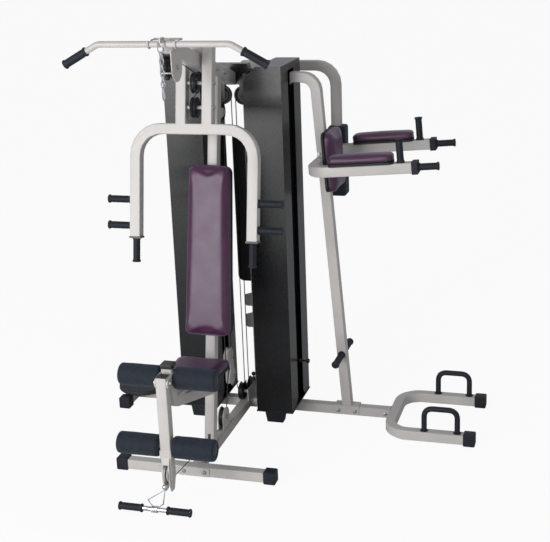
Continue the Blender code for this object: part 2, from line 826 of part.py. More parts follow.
def shroud(front):
    """C section that covers one side of a stack: front True faces the seat."""
    low = STACK_X - SHROUD_WIDTH / 2
    high = STACK_X + SHROUD_WIDTH / 2
    web = STACK_Y - SHROUD_SLOT / 2 - SHROUD_DEPTH
    lip = STACK_Y - SHROUD_SLOT / 2
    sheet = SHROUD_SHEET
    outline = [(low, lip), (low, web), (high, web), (high, lip)]
    outline += [(high - sheet, lip), (high - sheet, web + sheet), (low + sheet, web + sheet)]
    outline.append((low + sheet, lip))
    body = prism(outline, SHROUD_BOTTOM, SHROUD_TOP, plane("XY"))
    corner = 0.045
    wedge = [(lip - corner, SHROUD_BOTTOM - 0.01), (lip + 0.01, SHROUD_BOTTOM - 0.01)]
    wedge.append((lip + 0.01, SHROUD_BOTTOM + corner))
    body = cut(body, prism(wedge, low - 0.01, high + 0.01, plane("YZ")))
    if not front:
        turn = Matrix.Translation((0, STACK_Y, 0)) @ Matrix.Scale(-1, 4, Vector((0, 1, 0)))
        turn = turn @ Matrix.Translation((0, -STACK_Y, 0))
        body.data.transform(turn)
        body.data.flip_normals()
    return body


def guide_rods():
    """Right-hand pair of guide rods on its base sheet, with bumpers and a foot at each end."""
    half = SHROUD_WIDTH / 2 + 0.003
    web = SHROUD_SLOT / 2 + SHROUD_DEPTH + 0.003
    y = (STACK_Y - web, STACK_Y + web)
    top = ON_TUBE + BASE_SHEET
    body = box((STACK_X - half, STACK_X + half), y, (ON_TUBE, top))
    pieces = []
    for side in (-1, 1):
        rod_y = STACK_Y + side * ROD_SPREAD
        pieces.append(rod((STACK_X, rod_y, top - 0.002), (STACK_X, rod_y, ROD_TOP - GAP), ROD_RADIUS))
        pieces.append(rod((STACK_X, rod_y, top - 0.002), (STACK_X, rod_y, top + BUMPER), 0.020))
        foot_y = sorted((STACK_Y + side * (web - 0.003), STACK_Y + side * (web - 0.050)))
        outline = [(STACK_X - 0.042, 0), (STACK_X + 0.042, 0)]
        outline += [(STACK_X + 0.052, ON_TUBE + 0.001), (STACK_X - 0.052, ON_TUBE + 0.001)]
        pieces.append(prism(outline, *foot_y, plane("XZ")))
    return joined(body, *pieces)


def plate_stack(bottom, count):
    """Weight plates on top of each other, grooved between, with holes for both guide rods."""
    inset = 0.004
    half_x, half_y = PLATE_WIDTH / 2, PLATE_LENGTH / 2
    height = count * PLATE_PITCH
    core_x = (STACK_X - half_x + inset, STACK_X + half_x - inset)
    core_y = (STACK_Y - half_y + inset, STACK_Y + half_y - inset)
    body = box(core_x, core_y, (bottom + 0.003, bottom + height - PLATE_GROOVE - 0.003))
    plates = []
    for index in range(count):
        z = bottom + index * PLATE_PITCH
        x = (STACK_X - half_x, STACK_X + half_x)
        y = (STACK_Y - half_y, STACK_Y + half_y)
        plates.append(box(x, y, (z, z + PLATE_PITCH - PLATE_GROOVE)))
    body = joined(body, *plates)
    holes = []
    for side in (-1, 1):
        y = STACK_Y + side * ROD_SPREAD
        holes.append(
            rod((STACK_X, y, bottom - 0.01), (STACK_X, y, bottom + height), ROD_RADIUS + 0.002)
        )
    return cut(body, *holes)


def resting_plates():
    top = STACK_BOTTOM + RESTING_PLATES * PLATE_PITCH
    hole = rod((STACK_X, STACK_Y, 0), (STACK_X, STACK_Y, top + 0.01), STEM_RADIUS + 0.002)
    return cut(plate_stack(STACK_BOTTOM, RESTING_PLATES), hole)


def lifted_plates():
    """Top plates with the stem that hangs from the cable and the selector pin."""
    stem_bottom = STACK_BOTTOM + 0.004
    stem = rod((STACK_X, STACK_Y, stem_bottom), (STACK_X, STACK_Y, LIFT_TOP + 0.060), STEM_RADIUS)
    pin_z = LIFT_Z + PLATE_PITCH / 2
    edge = STACK_X + PLATE_WIDTH / 2
    pin_end = STACK_X + SHROUD_WIDTH / 2 + 0.050
    pin = rod((edge - 0.02, STACK_Y, pin_z), (pin_end, STACK_Y, pin_z), 0.005, 10)
    collar = rod((pin_end - 0.052, STACK_Y, pin_z), (pin_end - 0.042, STACK_Y, pin_z), 0.011)
    knob = rod((pin_end - 0.012, STACK_Y, pin_z), (pin_end + 0.002, STACK_Y, pin_z), 0.012)
    return joined(plate_stack(LIFT_Z, LIFTED_PLATES), stem, pin, collar, knob)


# ---- pressing station ----


def press_arm():
    """Built upright in the plane y = pivot, distances below the pivot along the arm, then leaned."""
    y, z = PRESS_PIVOT

    def down(height):
        return z - (z - height) / LEAN_COS

    bar_z, leg_z = down(PRESS_BAR_Z), down(PRESS_LEG_END)
    points = ((-PRESS_LEG_X, leg_z), (-PRESS_LEG_X, bar_z), (PRESS_LEG_X, bar_z), (PRESS_LEG_X, leg_z))
    body = tube(points, plane("XZ"), y, PRESS_BEND, steps=6)
    pieces = []
    for side in (-1, 1):
        x = side * PRESS_SPREAD
        pieces.append(
            box((x - HALF, x + HALF), (y - HALF, y + HALF), (bar_z, z + HALF), TUBE_EDGE)
        )
        leg = side * PRESS_LEG_X
        pieces.append(
            box(
                (leg - HALF - 0.003, leg + HALF + 0.003),
                (y - HALF, y + HALF),
                (leg_z - 0.006, leg_z + 0.002),
            )
        )
        grip_length = leg_z - down(PRESS_GRIP_END) - 0.006
        pieces.append(grip((leg, y, leg_z - 0.004), (0, 0, -1), grip_length))
        for height in PRESS_SIDE_GRIPS:
            start = leg + side * (HALF - 0.003)
            length = PRESS_SIDE_REACH - abs(start)
            pieces.append(grip((start, y, down(height)), (side, 0, 0), length))
    for height in PRESS_PULLEYS:
        pieces.append(rod((0.040, y, down(height)), (-0.040, y, down(height)), PIN_RADIUS))
        for side in (-1, 1):
            reach = side * (PULLEY_HALF + GAP)
            pieces.append(rod((reach, y, down(height)), (side * 0.040, y, down(height)), 0.009))
    body = joined(body, *pieces)
    bore = rod((-0.2, y, z), (0.2, y, z), 0.010 + PIN_FIT, 16)
    return swung(cut(body, bore), -LEAN_ANGLE, "X", (0, y, z))


def backrest_pad():
    up = Vector((0, math.sin(LEAN_ANGLE), LEAN_COS))
    out = Vector((0, -LEAN_COS, math.sin(LEAN_ANGLE)))
    foot = Vector((0, front_face(BACK_BOTTOM_Z), BACK_BOTTOM_Z))
    origin = foot + up * BACK_LENGTH / 2 + out * GAP
    matrix = basis(Vector((1, 0, 0)), up, out, origin)
    return cushion(matrix, BACK_WIDTH, BACK_LENGTH, BACK_THICK, top_width=BACK_TOP_WIDTH)


def seat_line(y):
    """Height of the flat tube's middle under the seat."""
    return POST_BEND_Z + 0.004 - SEAT_RISE * (y - POST_Y)


def seat_pad():
    angle = math.atan(SEAT_RISE)
    along = Vector((0, -math.cos(angle), math.sin(angle)))
    up = Vector((0, math.sin(angle), math.cos(angle)))
    middle = SEAT_BACK - SEAT_LENGTH / 2
    origin = Vector((0, middle, seat_line(middle))) + up * (FLAT_TUBE / 2 + GAP)
    matrix = basis(Vector((1, 0, 0)), along, up, origin)
    return cushion(matrix, SEAT_WIDTH, SEAT_LENGTH, SEAT_THICK, crown=0.005)


def seat_support():
    meet = front_face(ARM_FOOT_Z) - 2 * GAP
    face = (LEAN, 1.0)
    points = ((POST_Y, POST_TOP), (POST_Y, POST_BEND_Z), (meet, ARM_FOOT_Z))
    body = tube(points, plane("YZ"), 0, 0.060, end_face=face)
    flat_z = seat_line(front_face(seat_line(POST_Y)))
    points = ((POST_Y, seat_line(POST_Y)), (front_face(flat_z) - 2 * GAP, flat_z))
    flat = tube(
        points, plane("YZ"), 0, depth=FLAT_TUBE, width=TUBE - 0.002, edge=0.003, end_face=face
    )
    low, high = ARM_FOOT_Z - 0.005, ARM_FOOT_Z + 0.085
    gusset = [(meet - 0.065, low + 0.015), (front_face(low) - 2 * GAP, low)]
    gusset += [(front_face(high) - 2 * GAP, high), (front_face(high) - 0.030, high)]
    body = joined(body, flat, prism(gusset, -0.022, 0.022, plane("YZ")))
    cap = box((-0.028, 0.028), (POST_Y - 0.028, POST_Y + 0.028), (POST_TOP - 0.012, POST_TOP + 0.008), 0.004)
    ears = []
    for side in (-1, 1):
        outline = [(POST_Y - 0.005, LEVER_PIVOT_Z - 0.028), (POST_Y - 0.005, LEVER_PIVOT_Z + 0.028)]
        outline += arc((LEVER_Y, LEVER_PIVOT_Z), 0.024, 90, 270, 6)
        ears.append(prism(outline, side * (HALF + GAP), side * (HALF + 0.006), plane("YZ")))
        x = sorted((side * (HALF - 0.001), side * (HALF + 0.005)))
        pad = (LEVER_PIVOT_Z - 0.027, LEVER_PIVOT_Z + 0.027)
        ears.append(box(x, (POST_Y - 0.020, POST_Y - 0.006), pad))
    pivot = (LEVER_Y, LEVER_PIVOT_Z)
    lever_pin = rod((-HALF - 0.0068, *pivot), (HALF + 0.0068, *pivot), 0.008)
    reach = ROLLER_INNER + ROLLER_LENGTH - 0.012
    bar = rod((-reach, POST_Y, UPPER_ROLLER_Z), (reach, POST_Y, UPPER_ROLLER_Z), BAR_RADIUS)
    return joined(body, cap, *ears, lever_pin, bar)


def roller(y, z, side):
    """Foam roller on one end of a cross bar, closed at its outer end."""
    inner = BAR_RADIUS + PIN_FIT
    start = -ROLLER_LENGTH / 2
    end = ROLLER_LENGTH / 2
    radius = ROLLER_RADIUS
    profile = [
        (0, end),
        (0.020, end),
        (0.022, end - 0.003),
        (radius - 0.008, end - 0.001),
        (radius, end - 0.009),
        (radius, start + 0.009),
        (radius - 0.008, start),
        (inner, start),
        (inner, end - 0.011),
        (0, end - 0.011),
    ]
    base = (side * (ROLLER_INNER + ROLLER_LENGTH / 2), y, z)
    return turned(profile, base, (side, 0, 0), 16)


def leg_lever():
    y = LEVER_Y
    body = box((-HALF, HALF), (y - HALF, y + HALF), (LEVER_BOTTOM + 0.055, LEVER_TOP), TUBE_EDGE)
    cheek = [(y - 0.016, LEVER_BOTTOM), (y + 0.016, LEVER_BOTTOM), (y + HALF + 0.012, 0.150)]
    cheek += [(y + HALF + 0.012, 0.235), (y + HALF, 0.276), (y - HALF, 0.276)]
    cheek += [(y - HALF - 0.012, 0.235), (y - HALF - 0.012, 0.150)]
    outer = STRAP_X + LEVER_CHEEK
    cheeks = prism(cheek, -outer, outer, plane("YZ"))
    wide = box((-HALF - 0.004, HALF + 0.004), (y - HALF - 0.004, y + HALF + 0.004), (0.262, 0.300), 0.004)
    body = joined(body, cheeks, wide)
    slot_z = (LEVER_BOTTOM - 0.02, LEVER_PULLEY_Z + PULLEY_RADIUS + 0.004)
    slot = box((-STRAP_X, STRAP_X), (y - 0.2, y + 0.2), slot_z)
    body = cut(body, slot)
    axle = (y, LEVER_PULLEY_Z)
    pin = rod((-outer, *axle), (outer, *axle), PIN_RADIUS)
    bore = rod((-0.1, y, LEVER_PIVOT_Z), (0.1, y, LEVER_PIVOT_Z), 0.008 + PIN_FIT, 16)
    reach = ROLLER_INNER + ROLLER_LENGTH - 0.012
    bar = rod((-reach, y, LOWER_ROLLER_Z), (reach, y, LOWER_ROLLER_Z), BAR_RADIUS)
    return joined(cut(body, bore), pin, wheel((0, *axle), (1, 0, 0)), bar)


def row_bar():
    """Straight bar with two grips and a wire triangle up to the cable's ball."""
    y, z = LEVER_BALL_Y, GRIP_FLANGE + GAP
    x = ROW_BAR_X
    half = ROW_BAR_LENGTH / 2
    body = rod((x - half + 0.004, y, z), (x + half - 0.004, y, z), 0.011)
    grips = [grip((x + side * (half - 0.112), y, z), (side, 0, 0), 0.112) for side in (-1, 1)]
    sleeve = rod((x - 0.014, y, z), (x + 0.014, y, z), 0.016)
    top = LOW_RUN_Z - BALL_RADIUS - 0.0015 - GAP
    wire = [(x, y, z), (x - 0.030, y, z + 0.045), (0.0, y, top), (x + 0.042, y, z + 0.030)]
    return joined(body, *grips, sleeve, round_bar(wire, 0.003, 1, closed=True))


def lat_bar():
    y, z = LAT_BAR
    end_x, end_z = LAT_END
    points = [(-end_x, end_z), (-LAT_STRAIGHT, z), (LAT_STRAIGHT, z), (end_x, end_z)]
    path = bend(points, 0.060, 3)
    body = round_bar([(point.x, y, point.y) for point in path], LAT_RADIUS, 3)
    pieces = []
    for side in (-1, 1):
        down = Vector((side * (end_x - LAT_STRAIGHT), 0, end_z - z)).normalized()
        tip = Vector((side * end_x, y, end_z))
        pieces.append(grip(tip + down * 0.004 - down * LAT_GRIP, down, LAT_GRIP, 0.0165, 0.0205))
    lug = [(-0.026, z + 0.004), (0.026, z + 0.004), (0.006, z + 0.030), (-0.006, z + 0.030)]
    pieces.append(prism(lug, y - 0.003, y + 0.003, plane("XZ")))
    eye = box((-0.003, 0.003), (RING_Y - 0.009, y), (z + 0.008, z + 0.028))
    body = joined(body, *pieces, eye)
    hole = rod((-0.02, RING_Y, z + RING_RISE), (0.02, RING_Y, z + RING_RISE), 0.0054, 10)
    return cut(body, hole)


def oval(centre, length, width, turn, wire, steps=2):
    """Closed link of round wire standing upright, turned about the vertical by turn degrees."""
    half_w = width / 2 - wire
    half_l = length / 2 - wire - half_w
    flat = arc((0, half_l), half_w, 0, 180, steps + 1) + arc((0, -half_l), half_w, 180, 360, steps + 1)
    side = Vector((math.cos(math.radians(turn)), math.sin(math.radians(turn)), 0))
    points = [Vector(centre) + side * u + Vector((0, 0, v)) for u, v in flat]
    return round_bar(points, wire, 0, closed=True)


def lat_chain():
    """Ring, links and snap hook that hang from the lat bar, linked as one piece."""
    wire = LINK_WIRE
    top = LAT_BAR[1] + RING_RISE + wire
    body = oval((0, RING_Y, top - 0.030), 0.060, 0.032, 0, wire)
    z = top - 0.060 + 2 * wire
    links = []
    for index in range(LINKS):
        overlap = wire * 0.4
        centre_z = z + wire - overlap - LINK_LENGTH / 2 + wire
        links.append(oval((0, RING_Y, centre_z), LINK_LENGTH, LINK_WIDTH, 90 - 90 * (index % 2), wire))
        z = centre_z - LINK_LENGTH / 2 + 2 * wire
    links.append(oval((0, RING_Y, z - 0.026), 0.062, 0.026, 90 - 90 * (LINKS % 2), wire))
    return joined(body, *links)


# ---- rear and dip stations ----


def rear_frame():
    face = STACK_Y + HALF + GAP
    points = ((face, TUBE_Z), (REAR_Y, TUBE_Z), (REAR_Y, REAR_TOP_Z), (face, REAR_TOP_Z))
    body = tube(points, plane("YZ"), 0, REAR_BEND)
    lug_end = ARM_TUBE_Y - HALF - GAP
    lug = box((-0.022, 0.022), (REAR_Y + 0.005, lug_end), (REAR_TOP_Z - 0.130, REAR_TOP_Z - 0.020))
    face = REAR_Y + HALF
    tabs = []
    for low, high in ((0.350, 0.455), (0.475, 0.570)):
        outline = [(-0.082, low + 0.012), (-0.070, low), (0.020, low), (0.020, high), (-0.082, high - 0.030)]
        tabs.append(prism(outline, face - 0.001, face + 0.004, plane("XZ")))
    return joined(body, lug, *tabs)


def rear_backrest():
    origin = (0, REAR_Y + HALF + GAP, REAR_PAD_BOTTOM + REAR_PAD_LENGTH / 2)
    matrix = basis(Vector((-1, 0, 0)), Vector((0, 0, 1)), Vector((0, 1, 0)), origin)
    return cushion(matrix, REAR_PAD_WIDTH, REAR_PAD_LENGTH, REAR_PAD_THICK)


def rear_arm_tube():
    sleeve_top = SLEEVE_BOTTOM + SLEEVE_LENGTH
    points = ((-0.060, ARM_TUBE_Z), (ARM_TUBE_X, ARM_TUBE_Z), (ARM_TUBE_X, SLEEVE_BOTTOM + 0.05))
    body = tube(points, plane("XZ"), ARM_TUBE_Y, ARM_TUBE_BEND)
    half = SLEEVE_WIDTH / 2
    x = ARM_TUBE_X + 0.006
    y = (ARM_TUBE_Y - half, ARM_TUBE_Y + half)
    sleeve = box((x - half, x + half), y, (SLEEVE_BOTTOM, sleeve_top), 0.014)
    return joined(body, sleeve)


def side_upright():
    """Leaning tube with its saddle foot and the two foot pegs."""
    head = STACK_X + SHROUD_WIDTH / 2 + GAP
    foot = (side_x(ON_TUBE), ON_TUBE)
    points = ((side_x(foot[1] - 0.05), foot[1] - 0.05), (side_x(SIDE_TOP_Z), SIDE_TOP_Z), (head, SIDE_TOP_Z))
    body = tube(points, plane("XZ"), STACK_Y, SIDE_BEND)
    body = cut(body, box((0, 1), (0.5, 1.2), (-0.2, ON_TUBE)))
    x = (SIDE_FOOT_X - 0.065, SIDE_FOOT_X + 0.065)
    reach = HALF + JOINT_PLATE + GAP
    pieces = [box(x, (STACK_Y - reach, STACK_Y + reach), (ON_TUBE, ON_TUBE + JOINT_PLATE))]
    for side in (-1, 1):
        y = sorted((STACK_Y + side * (HALF + GAP), STACK_Y + side * reach))
        pieces.append(box(x, y, (CAP_WALL + 0.004, ON_TUBE + JOINT_PLATE)))
    peg_x = side_x(PEG_Z)
    for side in (-1, 1):
        start = (peg_x, STACK_Y + side * (HALF - 0.003), PEG_Z)
        pieces.append(grip(start, (0, side, 0), PEG_REACH - HALF))
    return joined(body, *pieces)


def dip_point(u, v=0.0):
    """Place on the dip frame: u along the arm from the side upright, v above the arm's middle."""
    along = Vector((math.cos(SIDE_ANGLE), 0, math.sin(SIDE_ANGLE)))
    up = Vector((-math.sin(SIDE_ANGLE), 0, math.cos(SIDE_ANGLE)))
    return Vector((side_x(DIP_Z), 0, DIP_Z)) + along * u + up * v


def dip_arm(side):
    """Bent tube from the side upright, with its end collar, end grip and upright grip."""
    arm_y = side * DIP_HALF
    points = ((0, side * (HALF + GAP)), (0, arm_y), (DIP_END, arm_y))
    origin = dip_point(0) + Vector((0, STACK_Y, 0))
    along = dip_point(1) - dip_point(0)
    up = dip_point(0, 1) - dip_point(0)
    matrix = basis(along, Vector((0, 1, 0)), up, origin)
    body = tube(points, matrix, 0, DIP_BEND)
    y = STACK_Y + arm_y
    end = dip_point(DIP_END - 0.003)
    end.y = y
    collar_half = HALF + 0.004
    collar = prism(
        [
            (DIP_END - 0.002, -collar_half),
            (DIP_END + DIP_COLLAR - 0.008, -collar_half),
            (DIP_END + DIP_COLLAR, 0.008 - collar_half),
            (DIP_END + DIP_COLLAR, collar_half - 0.008),
            (DIP_END + DIP_COLLAR - 0.008, collar_half),
            (DIP_END - 0.002, collar_half),
        ],
        -collar_half,
        collar_half,
        matrix @ Matrix.Translation((0, arm_y, 0)),
    )
    start = dip_point(DIP_END + DIP_COLLAR - 0.004)
    start.y = y
    handle = grip(start, along, DIP_GRIP)
    stand = dip_point(DIP_UPRIGHT_GRIP, HALF - 0.004)
    stand.y = y
    upright = grip(stand, up, DIP_UPRIGHT_RISE)
    return joined(body, collar, handle, upright)


def dip_arm_pad(side):
    middle = dip_point(DIP_PAD_START + DIP_PAD_LENGTH / 2, HALF + GAP)
    middle.y = STACK_Y + side * DIP_HALF
    along = dip_point(1) - dip_point(0)
    up = dip_point(0, 1) - dip_point(0)
    matrix = basis(Vector((0, -1, 0)), along, up, middle)
    return cushion(matrix, DIP_PAD_WIDTH, DIP_PAD_LENGTH, DIP_PAD_THICK, corner=0.026, crown=0.005)


def dip_back_pad():
    z = BACK_PAD_Z + BACK_PAD_LENGTH / 2
    along = dip_point(1) - dip_point(0)
    up = dip_point(0, 1) - dip_point(0)
    middle = Vector((side_x(z), STACK_Y, z)) + along * (HALF + GAP)
    matrix = basis(Vector((0, 1, 0)), up, along, middle)
    return cushion(matrix, BACK_PAD_WIDTH, BACK_PAD_LENGTH, BACK_PAD_THICK)


# ---- pulley block and cables ----


def pulley_block():
    top, bottom = Vector(BLOCK_TOP), Vector(BLOCK_BOTTOM)
    axis = (top - bottom).normalized()
    across = Vector((axis.y, -axis.x))
    heading = math.degrees(math.atan2(across.y, across.x))
    outline = arc(top, 0.026, heading, heading + 180, 6)
    outline += arc(bottom, 0.026, heading + 180, heading + 360, 6)
    pieces = []
    for side in (-1, 1):
        pieces.append(prism(outline, side * STRAP_X, side * (STRAP_X + STRAP), plane("YZ")))
    for centre in (top, bottom):
        pieces.append(wheel((0, *centre), (1, 0, 0)))
        pieces.append(pin_between(Vector((0, *centre)), Vector((1, 0, 0)), STRAP_X + STRAP))
    return joined(*pieces)


def upper_cable():
    """From the ball under the lat pulley to the anchor behind the upright."""
    y, z = LAT_PULLEY
    upper, lower = ((press_y(height), height) for height in PRESS_PULLEYS)
    ball_at = (y - GROOVE_RADIUS, z - 0.038)
    anchor_y = front_face(ANCHOR_Z) + TUBE / LEAN_COS + 0.014
    route = belt(
        [
            ball_at,
            (y, z, -1),
            (*upper, -1),
            (*lower, 1),
            (*UPRIGHT_PULLEY, -1),
            (*BLOCK_TOP, -1),
            (anchor_y, ANCHOR_Z - GAP),
        ]
    )
    return cable([(0, point.x, point.y) for point in route], (0, *ball_at))


def over_the_head(side, start_z):
    """Route from the drop between the stacks, over the centre and head pulleys, to the stem."""
    drop = side * DROP_X
    route = belt(
        [
            (drop, start_z),
            (side * CENTRE_X, HEAD_PULLEY_Z, -side),
            (side * HEAD_X, HEAD_PULLEY_Z, -side),
            (side * STACK_X, LIFT_TOP + 0.060 + GAP),
        ]
    )
    return [(point.x, STACK_Y, point.y) for point in route]


def low_cable():
    """From the ball at the leg lever, through the pulley block, to the left stack."""
    front = STACK_Y - GROOVE_RADIUS
    ball_at = (LEVER_BALL_Y, LOW_RUN_Z)
    route = belt(
        [
            ball_at,
            (LEVER_Y, LEVER_PULLEY_Z, 1),
            (*LOW_PULLEY, 1),
            (*BLOCK_BOTTOM, -1),
            (front, FLOOR_PULLEY_Z, 1),
            (STACK_Y, FLOOR_PULLEY_Z + 0.03),
        ]
    )
    leave = BLOCK_BOTTOM[0] + GROOVE_RADIUS
    arrive = front - GROOVE_RADIUS
    points = []
    for point in route:
        share = min(max((point.x - leave) / (arrive - leave), 0.0), 1.0)
        points.append((-DROP_X * share, point.x, point.y))
    points += over_the_head(-1, FLOOR_PULLEY_Z + 0.06)
    return cable(points, (0, *ball_at))


def rear_cable():
    """From the ball behind the rear floor pulley to the right stack."""
    rear = STACK_Y + GROOVE_RADIUS
    ball_at = (rear + GROOVE_RADIUS, FLOOR_PULLEY_Z + 0.045)
    route = belt([ball_at, (rear, FLOOR_PULLEY_Z, -1), (STACK_Y, FLOOR_PULLEY_Z + 0.03)])
    points = [(DROP_X, point.x, point.y) for point in route]
    points += over_the_head(1, FLOOR_PULLEY_Z + 0.06)
    return cable(points, (DROP_X, *ball_at))


# ---- materials and nodes ----


def linear(channel):
    value = channel / 255
    return value / 12.92 if value <= 0.04045 else ((value + 0.055) / 1.055) ** 2.4


def material(name, hex_colour, roughness, metallic=0.0):
    made = bpy.data.materials.new(name)
    made.use_nodes = True
    shader = made.node_tree.nodes["Principled BSDF"]
    channels = [linear(int(hex_colour[i : i + 2], 16)) for i in (1, 3, 5)]
    shader.inputs["Base Color"].default_value = (*channels, 1)
    shader.inputs["Roughness"].default_value = roughness
    shader.inputs["Metallic"].default_value = metallic
    return made


def clear_scene():
    for ob in list(bpy.data.objects):
        bpy.data.objects.remove(ob)


clear_scene()

GREY = material("grey_paint", "#BDB8B3", 0.45)
BLACK = material("black_gloss", "#101014", 0.20)
RUBBER = material("black_rubber", "#1F2530", 0.75)
LEATHER = material("purple_leather", "#5A1F45", 0.40)
FOAM = material("roller_foam", "#1E2832", 0.90)
CHROME = material("chrome", "#D0D3D8", 0.15, 1.0)
IRON = material("black_iron", "#17181A", 0.60)
NYLON = material("black_nylon", "#15161A", 0.35)
CABLE_SKIN = material("cable_skin", "#121316", 0.40)

assembly = bpy.data.collections.new("multi_station_home_gym")
bpy.context.scene.collection.children.link(assembly)


def node(name, ob, finish, origin=None):
    """Names the piece, gives it its material and puts its origin on its joint."""
    ob.name = name
    ob.data.name = name
    ob.data.materials.clear()
    ob.data.materials.append(finish)
    for user in list(ob.users_collection):
        user.objects.unlink(ob)
    assembly.objects.link(ob)
    if origin is not None:
        ob.data.transform(Matrix.Translation(-Vector(origin)))
        ob.location = origin
    return ob


node("front_cross_tube", front_cross_tube(), GREY)
node("front_cap_left", end_cap("X", HALF, (-FRONT_HALF, -FRONT_HALF - CAP_LENGTH)), RUBBER)
node("front_cap_right", end_cap("X", HALF, (FRONT_HALF, FRONT_HALF + CAP_LENGTH)), RUBBER)
node("main_base_tube", main_base_tube(), GREY)
node("rear_base_tube", rear_base_tube(), GREY)
foot_front = STACK_Y - LEFT_FOOT_HALF
foot_rear = STACK_Y + LEFT_FOOT_HALF
node("foot_cap_front", end_cap("Y", LEFT_FOOT_X, (foot_front, foot_front - CAP_LENGTH)), RUBBER)
node("foot_cap_rear", end_cap("Y", LEFT_FOOT_X, (foot_rear, foot_rear + CAP_LENGTH)), RUBBER)
node("twister_disc", twister_disc(), RUBBER, (DISC_X, STACK_Y, ON_TUBE))
node("floor_u_tube", floor_u_tube(), GREY)
for place, side in (("front", -1), ("rear", 1)):
    leg_y = STACK_Y + side * FLOOR_U_HALF
    ends = (FLOOR_U_END, FLOOR_U_END + CAP_LENGTH)
    node("floor_u_cap_" + place, end_cap("X", leg_y, ends), RUBBER)
    node("pushup_handle_" + place, pushup_handle(leg_y), RUBBER)

node("main_upright", main_upright(), GREY)
node("top_boom", top_boom(), GREY)
node("top_crossbeam", top_crossbeam(), BLACK)

for place, front in (("front", True), ("rear", False)):
    right = shroud(front)
    node("shroud_left_" + place, mirrored(right), BLACK)
    node("shroud_right_" + place, right, BLACK)
for name, make, finish in (
    ("guide_rods", guide_rods, CHROME),
    ("plates_resting", resting_plates, IRON),
    ("plates_lifted", lifted_plates, IRON),
):
    right = make()
    node(name + "_left", mirrored(right), finish)
    node(name + "_right", right, finish)

press_origin = (0, *PRESS_PIVOT)
node("press_arm", press_arm(), GREY, press_origin)
for place, height in zip(("upper", "lower"), PRESS_PULLEYS):
    centre = (0, press_y(height), height)
    node("press_pulley_" + place, pulley(centre, (1, 0, 0)), NYLON, centre)
node("backrest_pad", backrest_pad(), LEATHER)
node("seat_pad", seat_pad(), LEATHER)
node("seat_support", seat_support(), GREY)
node("leg_lever", leg_lever(), GREY, (0, LEVER_Y, LEVER_PIVOT_Z))
for place, roller_y, roller_z in (("upper", POST_Y, UPPER_ROLLER_Z), ("lower", LEVER_Y, LOWER_ROLLER_Z)):
    for hand, side in (("left", -1), ("right", 1)):
        node(f"roller_{place}_{hand}", roller(roller_y, roller_z, side), FOAM, (0, roller_y, roller_z))
node("row_bar", row_bar(), CHROME)
node("lat_bar", lat_bar(), GREY)
node("lat_chain", lat_chain(), CHROME)

node("rear_frame", rear_frame(), GREY)
node("rear_backrest", rear_backrest(), LEATHER)
node("rear_arm_tube", rear_arm_tube(), GREY)
node("side_upright", side_upright(), GREY)
for place, side in (("front", -1), ("rear", 1)):
    node("dip_arm_" + place, dip_arm(side), GREY)
    node("dip_arm_pad_" + place, dip_arm_pad(side), LEATHER)
node("dip_back_pad", dip_back_pad(), LEATHER)

for name, centre, along in (
    ("lat_pulley", (0, *LAT_PULLEY), (1, 0, 0)),
    ("low_pulley", (0, *LOW_PULLEY), (1, 0, 0)),
    ("upright_pulley", (0, *UPRIGHT_PULLEY), (1, 0, 0)),
    ("floor_pulley_front", (-DROP_X, STACK_Y - GROOVE_RADIUS, FLOOR_PULLEY_Z), (1, 0, 0)),
    ("floor_pulley_rear", (DROP_X, STACK_Y + GROOVE_RADIUS, FLOOR_PULLEY_Z), (1, 0, 0)),
    ("centre_pulley_left", (-CENTRE_X, STACK_Y, HEAD_PULLEY_Z), (0, 1, 0)),
    ("centre_pulley_right", (CENTRE_X, STACK_Y, HEAD_PULLEY_Z), (0, 1, 0)),
):
    node(name, pulley(centre, along), NYLON, centre)
node("pulley_block", pulley_block(), NYLON)
node("upper_cable", upper_cable(), CABLE_SKIN)
node("low_cable", low_cable(), CABLE_SKIN)
node("rear_cable", rear_cable(), CABLE_SKIN)


def centre_on_origin():
    """Hangs every node on an empty that puts the middle of the whole outline over the origin."""
    bpy.context.view_layer.update()
    corners = [ob.matrix_world @ vert.co for ob in assembly.objects for vert in ob.data.vertices]
    middle = []
    for axis in (0, 1):
        values = [corner[axis] for corner in corners]
        middle.append((min(values) + max(values)) / 2)
    holder = bpy.data.objects.new("floor_origin", None)
    nodes = list(assembly.objects)
    assembly.objects.link(holder)
    holder.location = (-middle[0], -middle[1], 0)
    for ob in nodes:
        ob.parent = holder
    print("offset", round(-middle[0], 5), round(-middle[1], 5), "nodes", len(nodes))


centre_on_origin()
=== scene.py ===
"""A multi station home gym: square steel tubes in warm light grey powder coat, two weight stacks behind black
sheet shrouds, burgundy leatherette pads, foam rollers and rubber grips. Metres, +Z up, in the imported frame.
"""

import math

import bmesh
import bpy
from mathutils import Matrix, Vector
from mathutils.bvhtree import BVHTree


